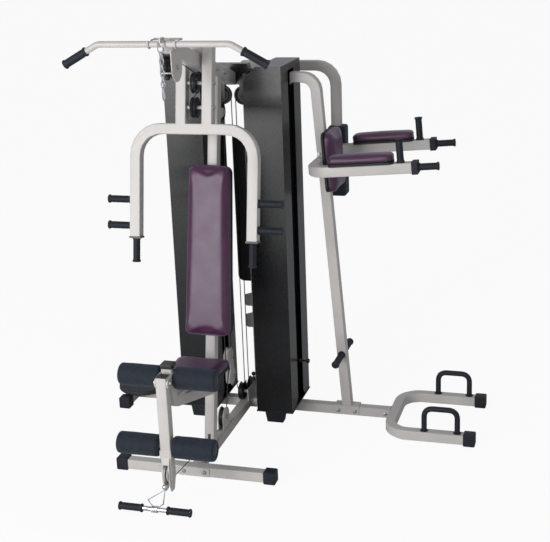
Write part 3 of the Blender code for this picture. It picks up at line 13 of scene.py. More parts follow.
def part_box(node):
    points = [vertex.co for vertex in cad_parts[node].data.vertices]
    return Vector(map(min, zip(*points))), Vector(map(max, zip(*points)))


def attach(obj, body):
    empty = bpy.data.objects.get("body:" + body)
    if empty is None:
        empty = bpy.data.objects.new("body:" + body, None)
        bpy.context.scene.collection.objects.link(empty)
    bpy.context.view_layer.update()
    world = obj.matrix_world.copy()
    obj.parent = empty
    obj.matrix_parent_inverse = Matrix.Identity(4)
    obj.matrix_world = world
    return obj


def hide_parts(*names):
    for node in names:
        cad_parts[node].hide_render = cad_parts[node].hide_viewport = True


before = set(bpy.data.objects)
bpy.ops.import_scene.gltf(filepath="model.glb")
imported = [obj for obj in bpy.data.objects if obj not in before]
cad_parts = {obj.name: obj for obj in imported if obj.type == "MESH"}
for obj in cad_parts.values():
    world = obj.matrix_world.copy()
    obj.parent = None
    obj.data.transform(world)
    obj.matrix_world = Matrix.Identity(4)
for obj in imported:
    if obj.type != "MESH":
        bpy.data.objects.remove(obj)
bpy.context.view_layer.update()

# ---- camera and studio ----
# The machine stands on a white sweep. A long lens looks at it from its front right, a little above head
# height. One broad soft lamp stands in front and to the left, so the right-hand sides of the tubes fall
# into shade.

STATION = Vector((-0.259, -0.42975, 0.0))  # floor under the middle of the pressing station's front tube
CAMERA_PLACE = Vector((1.5952, -5.1240, 2.5934))
CAMERA_BACK = Vector((0.2754, -0.9135, 0.2996)).normalized()
CAMERA_RIGHT = Vector((0.960, 0.2774, -0.0366))
CAMERA_LENS = 76.5

right = (CAMERA_RIGHT - CAMERA_BACK * CAMERA_RIGHT.dot(CAMERA_BACK)).normalized()
camera_data = bpy.data.cameras.new("camera")
camera_data.lens = CAMERA_LENS
camera_data.sensor_width = 36.0
camera_data.clip_end = 200.0
camera = bpy.data.objects.new("camera", camera_data)
bpy.context.scene.collection.objects.link(camera)
camera.matrix_world = (
    Matrix.Translation(CAMERA_PLACE)
    @ Matrix((right, CAMERA_BACK.cross(right), CAMERA_BACK)).transposed().to_4x4()
)
bpy.context.scene.camera = camera
bpy.context.scene.view_settings.view_transform = "Standard"


def linear_colour(hex_colour):
    """An sRGB hex value as linear RGBA."""
    channels = [int(hex_colour[i : i + 2], 16) / 255 for i in (1, 3, 5)]
    return [c / 12.92 if c <= 0.04045 else ((c + 0.055) / 1.055) ** 2.4 for c in channels] + [1.0]


def add_node(tree, kind, settings=None, links=None):
    """Adds one node. Settings name its properties or sockets, and links map its sockets to outputs."""
    node = tree.nodes.new(kind)
    for name, value in (settings or {}).items():
        if isinstance(name, str) and hasattr(node, name):
            setattr(node, name, value)
        else:
            node.inputs[name].default_value = value
    for name, output in (links or {}).items():
        tree.links.new(output, node.inputs[name])
    return node


def empty_tree(owner):
    owner.use_nodes = True
    owner.node_tree.nodes.clear()
    return owner.node_tree


world = bpy.data.worlds.new("studio")
bpy.context.scene.world = world
tree = empty_tree(world)
path = add_node(tree, "ShaderNodeLightPath")
seen = add_node(
    tree,
    "ShaderNodeMath",
    {"operation": "MAXIMUM"},
    {0: path.outputs["Is Camera Ray"], 1: path.outputs["Is Transmission Ray"]},
)
ambient = add_node(tree, "ShaderNodeBackground", {"Color": linear_colour("#F4F6FA"), "Strength": 0.37})
white = add_node(tree, "ShaderNodeBackground", {"Color": (1, 1, 1, 1), "Strength": 1.0})
mirror_white = add_node(tree, "ShaderNodeBackground", {"Color": linear_colour("#EEF0F6"), "Strength": 0.62})
mixed = add_node(
    tree,
    "ShaderNodeMixShader",
    None,
    {0: path.outputs["Is Glossy Ray"], 1: ambient.outputs[0], 2: mirror_white.outputs[0]},
)
both = add_node(
    tree, "ShaderNodeMixShader", None, {0: seen.outputs[0], 1: mixed.outputs[0], 2: white.outputs[0]}
)
add_node(tree, "ShaderNodeOutputWorld", None, {"Surface": both.outputs[0]})


def soft_lamp(name, place, target, size, power):
    data = bpy.data.lights.new(name, "AREA")
    data.shape = "SQUARE"
    data.size = size
    data.energy = power
    lamp = bpy.data.objects.new(name, data)
    bpy.context.scene.collection.objects.link(lamp)
    aim = (Vector(target) - Vector(place)).to_track_quat("-Z", "Y")
    lamp.matrix_world = Matrix.Translation(place) @ aim.to_matrix().to_4x4()
    return lamp


soft_lamp("key_lamp", (-2.1, -5.4, 2.1), (0.0, 0.0, 1.0), 3.0, 205.0)
soft_lamp("fill_lamp", (4.2, -3.0, 2.2), (0.2, 0.2, 1.0), 2.6, 9.0)

floor_mesh = bpy.data.meshes.new("floor")
bm = bmesh.new()
bmesh.ops.create_grid(bm, x_segments=1, y_segments=1, size=60.0, matrix=Matrix.Translation((0, 0, -0.0008)))
bm.to_mesh(floor_mesh)
bm.free()
floor = bpy.data.objects.new("floor", floor_mesh)
bpy.context.scene.collection.objects.link(floor)
sweep = bpy.data.materials.new("matt_white_sweep")
tree = empty_tree(sweep)
path = add_node(tree, "ShaderNodeLightPath")
paper = add_node(tree, "ShaderNodeBsdfDiffuse", {"Color": linear_colour("#F2F2F2")})
glow = add_node(tree, "ShaderNodeEmission", {"Color": (1, 1, 1, 1), "Strength": 1.0})
share = add_node(
    tree, "ShaderNodeMath", {"operation": "MULTIPLY", 1: 0.93}, {0: path.outputs["Is Camera Ray"]}
)
surface = add_node(
    tree, "ShaderNodeMixShader", None, {0: share.outputs[0], 1: paper.outputs[0], 2: glow.outputs[0]}
)
add_node(tree, "ShaderNodeOutputMaterial", None, {"Surface": surface.outputs[0]})
floor_mesh.materials.append(sweep)

# ---- powder-coated frame tubes ----
# Every grey member is welded square steel tube, 50 mm, powder-coated warm light grey. The coat is satin
# with a faint orange-peel skin and a slightly uneven tone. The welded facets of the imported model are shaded
# as one skin.


def pattern_space(tree, stretch=(1, 1, 1)):
    """Object coordinates in metres, stretched."""
    coordinates = add_node(tree, "ShaderNodeTexCoord")
    place = coordinates.outputs["Object"]
    mapping = add_node(tree, "ShaderNodeMapping", {"Scale": stretch}, {"Vector": place})
    return mapping.outputs[0]


def noise_at(tree, space, millimetres, detail=2.0):
    """Noise whose features are that many millimetres apart."""
    return add_node(
        tree, "ShaderNodeTexNoise", {"Scale": 1000.0 / millimetres, "Detail": detail}, {"Vector": space}
    ).outputs["Fac"]


def toned(tree, factor, dark, light, low=0.35, high=0.65):
    """Two hex colours mixed by a factor between two thresholds."""
    spread = add_node(
        tree, "ShaderNodeMapRange", {"From Min": low, "From Max": high}, {"Value": factor}
    )
    return add_node(
        tree,
        "ShaderNodeMix",
        {"data_type": "RGBA", 6: linear_colour(dark), 7: linear_colour(light)},
        {0: spread.outputs[0]},
    ).outputs[2]


def ranged(tree, factor, low, high):
    return add_node(
        tree,
        "ShaderNodeMapRange",
        {"From Min": 0.3, "From Max": 0.7, "To Min": low, "To Max": high},
        {"Value": factor},
    ).outputs[0]


def bumped(tree, height, depth_mm, strength=0.6, under=None):
    links = {"Height": height}
    if under is not None:
        links["Normal"] = under
    return add_node(
        tree, "ShaderNodeBump", {"Strength": strength, "Distance": depth_mm / 1000.0}, links
    ).outputs[0]


def coated(tree, settings, links):
    shader = add_node(tree, "ShaderNodeBsdfPrincipled", settings, links)
    add_node(tree, "ShaderNodeOutputMaterial", None, {"Surface": shader.outputs[0]})


powder_coat = bpy.data.materials.new("grey_powder_coated_steel")
tree = empty_tree(powder_coat)
space = pattern_space(tree)
tone = noise_at(tree, space, 180.0)
peel = noise_at(tree, space, 2.4)  # real orange peel is about 1 mm; drawn coarser to show
coated(
    tree,
    {"Metallic": 0.0, "IOR": 1.5},
    {
        "Base Color": toned(tree, tone, "#C6C2BE", "#CFCBC7"),
        "Roughness": ranged(tree, tone, 0.34, 0.42),
        "Normal": bumped(tree, peel, 0.03, 0.5),
    },
)

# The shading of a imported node: its facets are welded, edges sharper than half a right angle stay crisp.
skin = bpy.data.node_groups.new("one_skin", "GeometryNodeTree")
skin.interface.new_socket("Geometry", in_out="INPUT", socket_type="NodeSocketGeometry")
skin.interface.new_socket("Geometry", in_out="OUTPUT", socket_type="NodeSocketGeometry")
start = add_node(skin, "NodeGroupInput")
weld = add_node(
    skin, "GeometryNodeMergeByDistance", {"Distance": 0.00002}, {"Geometry": start.outputs[0]}
)
angle = add_node(skin, "GeometryNodeInputMeshEdgeAngle")
crisp = add_node(
    skin,
    "FunctionNodeCompare",
    {"data_type": "FLOAT", "operation": "GREATER_THAN", 1: math.radians(50)},
    {0: angle.outputs["Unsigned Angle"]},
)
whole = add_node(skin, "GeometryNodeSetShadeSmooth", {"Shade Smooth": True}, {"Geometry": weld.outputs[0]})
edges = add_node(
    skin,
    "GeometryNodeStoreNamedAttribute",
    {"data_type": "BOOLEAN", "domain": "EDGE", "Name": "sharp_edge"},
    {"Geometry": whole.outputs[0], "Value": crisp.outputs[0]},
)
add_node(skin, "NodeGroupOutput", None, {0: edges.outputs[0]})


def one_skin(node_name, finish):
    """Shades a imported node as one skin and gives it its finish."""
    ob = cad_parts[node_name]
    ob.data.materials.clear()
    ob.data.materials.append(finish)
    ob.modifiers.new("one_skin", "NODES").node_group = skin
    even = ob.modifiers.new("even_normals", "WEIGHTED_NORMAL")
    even.keep_sharp = True
    even.weight = 80


GREY_TUBES = (
    "front_cross_tube main_base_tube rear_base_tube floor_u_tube main_upright top_boom press_arm "
    "seat_support "
    "leg_lever lat_bar rear_frame rear_arm_tube side_upright dip_arm_front dip_arm_rear"
)
for node_name in GREY_TUBES.split():
    one_skin(node_name, powder_coat)

# ---- black sheet parts ----
# The shrouds and the beam over the stacks are folded steel sheet, gloss black with a faint blue cast where
# the room mirrors in it. The sheet is never quite flat, so the mirror image waves a little.

gloss_black = bpy.data.materials.new("gloss_black_painted_sheet")
tree = empty_tree(gloss_black)
space = pattern_space(tree)
waves = noise_at(tree, pattern_space(tree, (1, 1, 0.35)), 160.0)
dust = noise_at(tree, space, 4.0, 4.0)
coated(
    tree,
    {"IOR": 1.5},
    {
        "Base Color": toned(tree, waves, "#08090B", "#0E0F13"),
        "Roughness": ranged(tree, dust, 0.24, 0.33),
        "Normal": bumped(tree, waves, 1.6, 0.5),
    },
)
for node_name in (
    "top_crossbeam shroud_left_front shroud_left_rear shroud_right_front shroud_right_rear"
).split():
    one_skin(node_name, gloss_black)

# ---- stacks and their fittings ----
# Plates are cast iron under black paint. Guide rods, bar and chain are chrome-plated steel. Pulleys and the
# floating block turn in black nylon cheeks, and the cables are steel in a black nylon skin.

cast_iron = bpy.data.materials.new("black_painted_cast_iron")
tree = empty_tree(cast_iron)
grit = noise_at(tree, pattern_space(tree), 3.0, 4.0)
coated(
    tree,
    {"IOR": 1.5, "Metallic": 0.0},
    {
        "Base Color": toned(tree, grit, "#131416", "#1D1E21"),
        "Roughness": ranged(tree, grit, 0.48, 0.64),
        "Normal": bumped(tree, grit, 0.35, 0.6),
    },
)
chrome = bpy.data.materials.new("chrome_plated_steel")
tree = empty_tree(chrome)
smear = noise_at(tree, pattern_space(tree), 22.0, 3.0)
coated(
    tree,
    {"Metallic": 1.0},
    {
        "Base Color": toned(tree, smear, "#C9CCD2", "#D8DADF"),
        "Roughness": ranged(tree, smear, 0.10, 0.22),
    },
)
nylon = bpy.data.materials.new("black_moulded_nylon")
tree = empty_tree(nylon)
moulding = noise_at(tree, pattern_space(tree), 5.0, 3.0)
coated(
    tree,
    {"IOR": 1.53},
    {
        "Base Color": toned(tree, moulding, "#121316", "#1A1B1F"),
        "Roughness": ranged(tree, moulding, 0.30, 0.42),
        "Normal": bumped(tree, moulding, 0.08, 0.5),
    },
)
cable_skin = bpy.data.materials.new("black_nylon_cable_skin")
tree = empty_tree(cable_skin)
lay = noise_at(tree, pattern_space(tree), 3.0)
coated(
    tree,
    {"IOR": 1.53},
    {"Base Color": toned(tree, lay, "#0E0F12", "#191A1E"), "Roughness": ranged(tree, lay, 0.32, 0.46)},
)
for node_name in "plates_resting_left plates_resting_right plates_lifted_left plates_lifted_right".split():
    one_skin(node_name, cast_iron)
for node_name in "guide_rods_left guide_rods_right row_bar lat_chain".split():
    one_skin(node_name, chrome)
for node_name in "upper_cable low_cable rear_cable".split():
    one_skin(node_name, cable_skin)
one_skin("pulley_block", powder_coat)

# ---- pulleys ----
# Each pulley is a moulded nylon wheel, 96 mm over its rims, with a rope groove, a dished web and a hub
# round its bearing. It turns on a zinc-plated bolt.

PULLEY_BORE = 0.0062
PULLEY_PROFILE = [
    (PULLEY_BORE, 0.0109),
    (0.0130, 0.0109),
    (0.0140, 0.0100),
    (0.0150, 0.0062),
    (0.0360, 0.0056),
    (0.0385, 0.0086),
    (0.0400, 0.0106),
    (0.0470, 0.0109),
    (0.0482, 0.0100),
    (0.0470, 0.0078),
    (0.0425, 0.0032),
    (0.0414, 0.0000),
]


def turned_mesh(name, profile, base, axis, steps, closed=False):
    """A mesh turned from (radius, height) pairs round an axis through base."""
    bm = bmesh.new()
    verts = [bm.verts.new((radius, 0, height)) for radius, height in profile]
    pairs = list(zip(verts, verts[1:])) + ([(verts[-1], verts[0])] if closed else [])
    outline = [bm.edges.new(pair) for pair in pairs]
    bmesh.ops.spin(
        bm,
        geom=verts + outline,
        cent=(0, 0, 0),
        axis=(0, 0, 1),
        angle=2 * math.pi,
        steps=steps,
        use_merge=True,
    )
    bmesh.ops.remove_doubles(bm, verts=bm.verts, dist=0.00001)
    bmesh.ops.recalc_face_normals(bm, faces=bm.faces)
    for face in bm.faces:
        face.smooth = True
    turn = Vector((0, 0, 1)).rotation_difference(Vector(axis)).to_matrix().to_4x4()
    bm.transform(Matrix.Translation(base) @ turn)
    mesh = bpy.data.meshes.new(name)
    bm.to_mesh(mesh)
    bm.free()
    return mesh


def placed(name, mesh, finish, body):
    """A piece in the scene that rides on a body, with its material slot."""
    ob = bpy.data.objects.new(name, mesh)
    bpy.context.scene.collection.objects.link(ob)
    mesh.materials.clear()
    mesh.materials.append(finish)
    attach(ob, body)
    return ob


pulley_outline = PULLEY_PROFILE + [(radius, -height) for radius, height in reversed(PULLEY_PROFILE[:-1])]
for node_name in (
    "press_pulley_upper press_pulley_lower lat_pulley low_pulley upright_pulley floor_pulley_front "
    "floor_pulley_rear centre_pulley_left centre_pulley_right"
).split():
    low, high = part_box(node_name)
    axis = (0, 1, 0) if node_name.startswith("centre") else (1, 0, 0)
    mesh = turned_mesh(node_name + "_wheel", pulley_outline, (low + high) / 2, axis, 40, closed=True)
    wheel = placed(node_name + "_wheel", mesh, nylon, node_name)
    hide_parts(node_name)

# ---- rubber end caps, twister disc and push-up handles ----
# The caps over the tube ends are moulded from blue-black rubber, and so are the disc and the sleeves of the
# two hoops. The rubber is matt, with a fine grain and paler rubbed patches.

rubber = bpy.data.materials.new("moulded_blue_black_rubber")
tree = empty_tree(rubber)
space = pattern_space(tree)
grain = noise_at(tree, space, 1.8, 3.0)
rubbed = noise_at(tree, space, 45.0, 3.0)
coated(
    tree,
    {"IOR": 1.42},
    {
        "Base Color": toned(tree, rubbed, "#10141B", "#1B222D"),
        "Roughness": ranged(tree, rubbed, 0.52, 0.66),
        "Normal": bumped(tree, grain, 0.15, 0.5),
    },
)
dotted_rubber = bpy.data.materials.new("dotted_anti_slip_rubber")
tree = empty_tree(dotted_rubber)
space = pattern_space(tree)
worn = noise_at(tree, space, 30.0, 4.0)
studs = add_node(
    tree, "ShaderNodeTexVoronoi", {"Scale": 1000.0 / 9.0, "Randomness": 0.15}, {"Vector": space}
)
coated(
    tree,
    {"IOR": 1.5},
    {
        "Base Color": toned(tree, worn, "#1B1C20", "#2C2D31"),
        "Roughness": ranged(tree, worn, 0.55, 0.72),
        "Normal": bumped(tree, studs.outputs["Distance"], 1.4, 0.7),
    },
)
for node_name in (
    "front_cap_left front_cap_right foot_cap_front foot_cap_rear floor_u_cap_front floor_u_cap_rear"
).split():
    one_skin(node_name, rubber)
one_skin("twister_disc", dotted_rubber)

HOOP_RADIUS = 0.0138


def bent_bar(name, points, radius, sides=20):
    """A round bar through points, as a mesh with closed ends."""
    curve = bpy.data.curves.new(name, "CURVE")
    curve.dimensions = "3D"
    curve.bevel_depth = radius
    curve.bevel_resolution = sides // 4
    curve.use_fill_caps = True
    spline = curve.splines.new("POLY")
    spline.points.add(len(points) - 1)
    for point, place in zip(spline.points, points):
        point.co = (*place, 1.0)
    source = bpy.data.objects.new(name, curve)
    bpy.context.scene.collection.objects.link(source)
    bpy.context.view_layer.update()
    mesh = bpy.data.meshes.new_from_object(source.evaluated_get(bpy.context.evaluated_depsgraph_get()))
    bpy.data.objects.remove(source)
    for face in mesh.polygons:
        face.use_smooth = True
    return mesh


def rounded_path(points, radius, steps=10):
    """Points with each inner corner drawn as an arc."""
    path = [Vector(points[0])]
    for before, corner, after in zip(points, points[1:], points[2:]):
        corner = Vector(corner)
        back = (Vector(before) - corner).normalized()
        ahead = (Vector(after) - corner).normalized()
        reach = radius / math.tan(back.angle(ahead) / 2)
        for step in range(steps + 1):
            share = step / steps
            first = corner + back * reach * (1 - share)
            second = corner + ahead * reach * share
            path.append(first.lerp(second, share))
    return path + [Vector(points[-1])]


for side in ("front", "rear"):
    low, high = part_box(f"pushup_handle_{side}")
    y = (low.y + high.y) / 2
    left, right_x = low.x + 0.020, high.x - 0.020
    top = high.z - 0.014
    corners = [(left, y, low.z + 0.001), (left, y, top), (right_x, y, top), (right_x, y, low.z + 0.001)]
    mesh = bent_bar(f"hoop_{side}", rounded_path(corners, 0.047), HOOP_RADIUS)
    hoop = placed(f"hoop_{side}", mesh, rubber, "frame")
    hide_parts(f"pushup_handle_{side}")
    for place, name in ((left, "left"), (right_x, "right")):
        washer = turned_mesh(
            f"hoop_washer_{side}_{name}",
            [(0, 0.0), (0.0195, 0.0), (0.0198, 0.001), (0.0195, 0.0035), (0.0170, 0.0045), (0, 0.0045)],
            (place, y, low.z),
            (0, 0, 1),
            28,
        )
        placed(f"hoop_washer_{side}_{name}", washer, rubber, "frame")

# ---- rubber grips ----
# A grip is a moulded sleeve pushed over the round bar: a flange at each end, shallow finger ribs between them
# and a flared mouth. All of them are the same blue-black rubber.

GRIP_BODY = 0.0158
GRIP_FLARE = 0.0201


def ribbed_grip(name, base, axis, length, body, body_radius=GRIP_BODY, flare=GRIP_FLARE):
    """Sleeve from base along axis, machine coordinates."""
    reach = 0.0004
    profile = [(0, -reach), (flare - 0.001, -reach)]
    profile += [(flare, 0.0012), (flare, 0.0055), (flare - 0.0012, 0.0072)]
    profile += [(body_radius + 0.0012, 0.0110)]
    start, end = 0.017, length - 0.017
    count = max(4, round((end - start) / 0.0085))
    pitch = (end - start) / count
    for index in range(count):
        z = start + pitch * index
        profile += [
            (body_radius, z + pitch * 0.08),
            (body_radius + 0.0012, z + pitch * 0.30),
            (body_radius + 0.0012, z + pitch * 0.70),
            (body_radius, z + pitch * 0.92),
        ]
    profile += [(body_radius + 0.0012, length - 0.0110), (flare - 0.0012, length - 0.0072)]
    profile += [(flare, length - 0.0055), (flare, length - 0.0012)]
    profile += [(flare - 0.0015, length + reach), (0, length + reach)]
    mesh = turned_mesh(name, profile, Vector(base) + STATION, axis, 28)
    return placed(name, mesh, rubber, body)


PRESS_PIVOT = Vector((0, 0.345, 1.980))
PRESS_LEAN = math.atan(0.194)
press_swing = (
    Matrix.Translation(PRESS_PIVOT) @ Matrix.Rotation(-PRESS_LEAN, 4, "X") @ Matrix.Translation(-PRESS_PIVOT)
)
HANG_TOP, HANG_LENGTH = 1.1102, 0.1152
SIDE_HEIGHTS = (1.2873, 1.1651)
for side, name in ((-1, "left"), (1, "right")):
    turn = press_swing.to_3x3()
    ribbed_grip(
        f"press_grip_low_{name}",
        press_swing @ Vector((side * 0.285, 0.345, HANG_TOP)),
        turn @ Vector((0, 0, -1)),
        HANG_LENGTH,
        "press_arm",
    )
    for place, height in zip(("upper", "lower"), SIDE_HEIGHTS):
        base = press_swing @ Vector((side * 0.3105, 0.345, height))
        ribbed_grip(f"press_grip_{place}_{name}", base, (side, 0, 0), 0.1145, "press_arm")
    droop = Vector((side * 0.156, 0, -0.085)).normalized()
    tip = Vector((side * 0.455, -0.055, 1.963))
    ribbed_grip(f"lat_grip_{name}", tip - droop * 0.116, droop, 0.120, "lat_bar", 0.0172, 0.0210)
    base = (-0.056 + side * 0.060, -0.367, 0.0198)
    ribbed_grip(f"row_grip_{name}", base, (side, 0, 0), 0.112, "row_bar", 0.0157, 0.0197)

DIP_SLOPE = math.atan(0.0757)
dip_along = Vector((math.cos(DIP_SLOPE), 0, math.sin(DIP_SLOPE)))
dip_up = Vector((-math.sin(DIP_SLOPE), 0, math.cos(DIP_SLOPE)))
dip_root = Vector((0.4577, 0.849, 1.368))
for side, name in ((-1, "front"), (1, "rear")):
    root = dip_root + Vector((0, side * 0.2735, 0))
    ribbed_grip(f"dip_grip_{name}", root + dip_along * 0.521, dip_along, 0.0965, "frame")
    foot = root + dip_along * 0.440 + dip_up * 0.0255
    ribbed_grip(f"dip_upright_grip_{name}", foot, dip_up, 0.1135, "frame")
    peg = Vector((0.53515, 0.849 + side * 0.0255, 0.345))
    ribbed_grip(f"foot_peg_grip_{name}", peg, (0, side, 0), 0.1450, "frame")

# The lat bar itself is one bent 26 mm tube, coated like the frame.
bar_points = [(-0.455, 1.963), (-0.299, 2.048), (0.299, 2.048), (0.455, 1.963)]
bar_path = rounded_path([STATION + Vector((x, -0.055, z)) for x, z in bar_points], 0.060)
placed("lat_bar_tube", bent_bar("lat_bar_tube", bar_path, 0.0139, 24), powder_coat, "lat_bar")

# ---- plastic plugs and collars ----
# Open tube ends are closed with black moulded plugs: the seat post, the leg lever and the ends of the press
# arm. The dip arms end in a thicker collar, and the rear arm carries a black foam sleeve.


def plug(name, matrix, size, edge, body, finish=nylon):
    """A rounded block, size along the matrix's own axes."""
    bm = bmesh.new()
    bmesh.ops.create_cube(bm, size=1.0, matrix=Matrix.Diagonal((*size, 1.0)))
    bmesh.ops.bevel(
        bm,
        geom=bm.edges[:],
        offset=edge,
        offset_type="OFFSET",
        segments=4,
        profile=0.5,
        affect="EDGES",
        material=-1,
    )
    for face in bm.faces:
        face.smooth = True
    bm.transform(Matrix.Translation(STATION) @ matrix)
    mesh = bpy.data.meshes.new(name)
    bm.to_mesh(mesh)
    bm.free()
    ob = placed(name, mesh, finish, body)
    even = ob.modifiers.new("even_normals", "WEIGHTED_NORMAL")
    even.weight = 80
    return ob


plug("seat_post_plug", Matrix.Translation((0, -0.237, 0.6698)), (0.0572, 0.0572, 0.0212), 0.004, "frame")
plug("lever_plug", Matrix.Translation((0, -0.310, 0.6450)), (0.0470, 0.0470, 0.0050), 0.0020, "leg_lever")
for side, name in ((-1, "left"), (1, "right")):
    place = press_swing @ Matrix.Translation((side * 0.285, 0.345, 1.1122))
    plug(f"press_plug_{name}", place, (0.0572, 0.0512, 0.0090), 0.0025, "press_arm")
dip_turn = Matrix((dip_along, Vector((0, 1, 0)), dip_up)).transposed().to_4x4()
for side, name in ((-1, "front"), (1, "rear")):
    middle = dip_root + Vector((0, side * 0.2735, 0)) + dip_along * 0.5075
    matrix = Matrix.Translation(middle) @ dip_turn
    plug(f"dip_collar_{name}", matrix, (0.0292, 0.0600, 0.0600), 0.0016, "frame", rubber)

# Each stack stands on a black base sheet with two tapered rubber feet.
STACK_X = 0.206
STACK_MIDDLE_Y = 0.849
FOOT_REACH = 0.153
FOOT_WIDTH = 0.0850
FOOT_TOP_WIDTH = 0.1052
for side, name in ((-1, "left"), (1, "right")):
    middle_x = side * STACK_X
    plug(
        f"stack_base_{name}",
        Matrix.Translation((middle_x, STACK_MIDDLE_Y, 0.0588)),
        (0.1974, 0.3604, 0.0066),
        0.0012,
        "frame",
        gloss_black,
    )
    for end, word in ((-1, "front"), (1, "rear")):
        bm = bmesh.new()
        bmesh.ops.create_cube(bm, size=1.0, matrix=Matrix.Diagonal((FOOT_WIDTH, 0.0480, 0.0560, 1.0)))
        for vert in bm.verts:
            if vert.co.z > 0:
                vert.co.x *= FOOT_TOP_WIDTH / FOOT_WIDTH
        bmesh.ops.bevel(
            bm,
            geom=[e for e in bm.edges if abs(e.verts[0].co.z - e.verts[1].co.z) > 0.01],
            offset=0.0008,
            offset_type="OFFSET",
            segments=2,
            profile=0.5,
            affect="EDGES",
            material=-1,
        )
        middle_y = STACK_MIDDLE_Y + end * FOOT_REACH
        bm.transform(Matrix.Translation(STATION + Vector((middle_x, middle_y, 0.0282))))
        mesh = bpy.data.meshes.new(f"stack_foot_{name}_{word}")
        bm.to_mesh(mesh)
        bm.free()
        placed(f"stack_foot_{name}_{word}", mesh, rubber, "frame")

# The low cable ends at the lever in a polished ball.
ball = bmesh.new()
bmesh.ops.create_uvsphere(ball, u_segments=32, v_segments=20, radius=0.0124)
for face in ball.faces:
    face.smooth = True
ball.transform(Matrix.Translation(STATION + Vector((0, -0.367, 0.137))))
mesh = bpy.data.meshes.new("low_cable_ball")
ball.to_mesh(mesh)
ball.free()
placed("low_cable_ball", mesh, chrome, "frame")

closed_foam = bpy.data.materials.new("closed_cell_foam")
tree = empty_tree(closed_foam)
space = pattern_space(tree)
blotch = noise_at(tree, space, 26.0, 5.0)
cells = add_node(tree, "ShaderNodeTexVoronoi", {"Scale": 1000.0 / 2.4}, {"Vector": space}).outputs["Distance"]
coated(
    tree,
    {"IOR": 1.45, "Sheen Weight": 0.18, "Sheen Roughness": 0.6, "Sheen Tint": linear_colour("#9AA9BF")},
    {
        "Base Color": toned(tree, blotch, "#0F161E", "#1E2833", 0.36, 0.66),
        "Roughness": ranged(tree, blotch, 0.72, 0.88),
        "Normal": bumped(tree, blotch, 0.9, 0.5, bumped(tree, cells, 0.3, 0.6)),
    },
)
plug(
    "rear_arm_sleeve",
    Matrix.Translation((0.451, 1.200, 1.294)),
    (0.0930, 0.0930, 0.3730),
    0.014,
    "frame",
    closed_foam,
)

# ---- upholstered pads ----
# Each pad is moulded foam on a 12 mm black board, wrapped in burgundy leatherette that is stretched over the
# rim and stapled under it. A sewn welt follows the rim, and a lip of the black board shows behind it.

leatherette = bpy.data.materials.new("burgundy_leatherette")
tree = empty_tree(leatherette)
space = pattern_space(tree)
pores = add_node(tree, "ShaderNodeTexVoronoi", {"Scale": 1000.0 / 3.0}, {"Vector": space}).outputs["Distance"]
creases = noise_at(tree, space, 14.0, 4.0)
handled = noise_at(tree, space, 90.0, 2.0)
coated(
    tree,
    {
        "IOR": 1.5,
        "Sheen Weight": 0.25,
        "Sheen Roughness": 0.40,
        "Sheen Tint": linear_colour("#C9B7DC"),
        "Coat Weight": 0.50,
        "Coat Roughness": 0.42,
        "Coat Tint": linear_colour("#F2EEFF"),
    },
    {
        "Base Color": toned(tree, handled, "#3C0D31", "#4A1540"),
        "Roughness": ranged(tree, handled, 0.38, 0.48),
        "Normal": bumped(tree, creases, 0.7, 0.35, bumped(tree, pores, 0.22, 0.6)),
    },
)
board_vinyl = bpy.data.materials.new("black_vinyl_backed_board")
tree = empty_tree(board_vinyl)
weave = noise_at(tree, pattern_space(tree), 2.2, 3.0)
coated(
    tree,
    {"IOR": 1.5},
    {
        "Base Color": toned(tree, weave, "#121215", "#1C1C20"),
        "Roughness": ranged(tree, weave, 0.55, 0.70),
        "Normal": bumped(tree, weave, 0.2, 0.6),
    },
)

BOARD_THICK = 0.012
STUFF_VOXEL = 0.0055
SWELL_FRAMES = 20


def foam_core(name, width, length, height, top_width, corner, rim):
    """Rounded block of foam standing on z = board top, a little smaller than the finished pad."""
    bm = bmesh.new()
    middle = Matrix.Translation((0, 0, BOARD_THICK + height / 2))
    bmesh.ops.create_cube(bm, size=1.0, matrix=middle @ Matrix.Diagonal((width, length, height, 1.0)))
    for vert in bm.verts:
        if vert.co.y > 0:
            vert.co.x *= top_width / width
    uprights = [e for e in bm.edges if abs(e.verts[0].co.z - e.verts[1].co.z) > height / 2]
    bmesh.ops.bevel(
        bm,
        geom=uprights,
        offset=corner,
        offset_type="OFFSET",
        segments=6,
        profile=0.5,
        affect="EDGES",
        material=-1,
    )
    crown = [e for e in bm.edges if min(v.co.z for v in e.verts) > BOARD_THICK + height * 0.9]
    bmesh.ops.bevel(
        bm,
        geom=crown,
        offset=rim,
        offset_type="OFFSET",
        segments=5,
        profile=0.55,
        affect="EDGES",
        material=-1,
    )
    mesh = bpy.data.meshes.new(name)
    bm.to_mesh(mesh)
    bm.free()
    return mesh


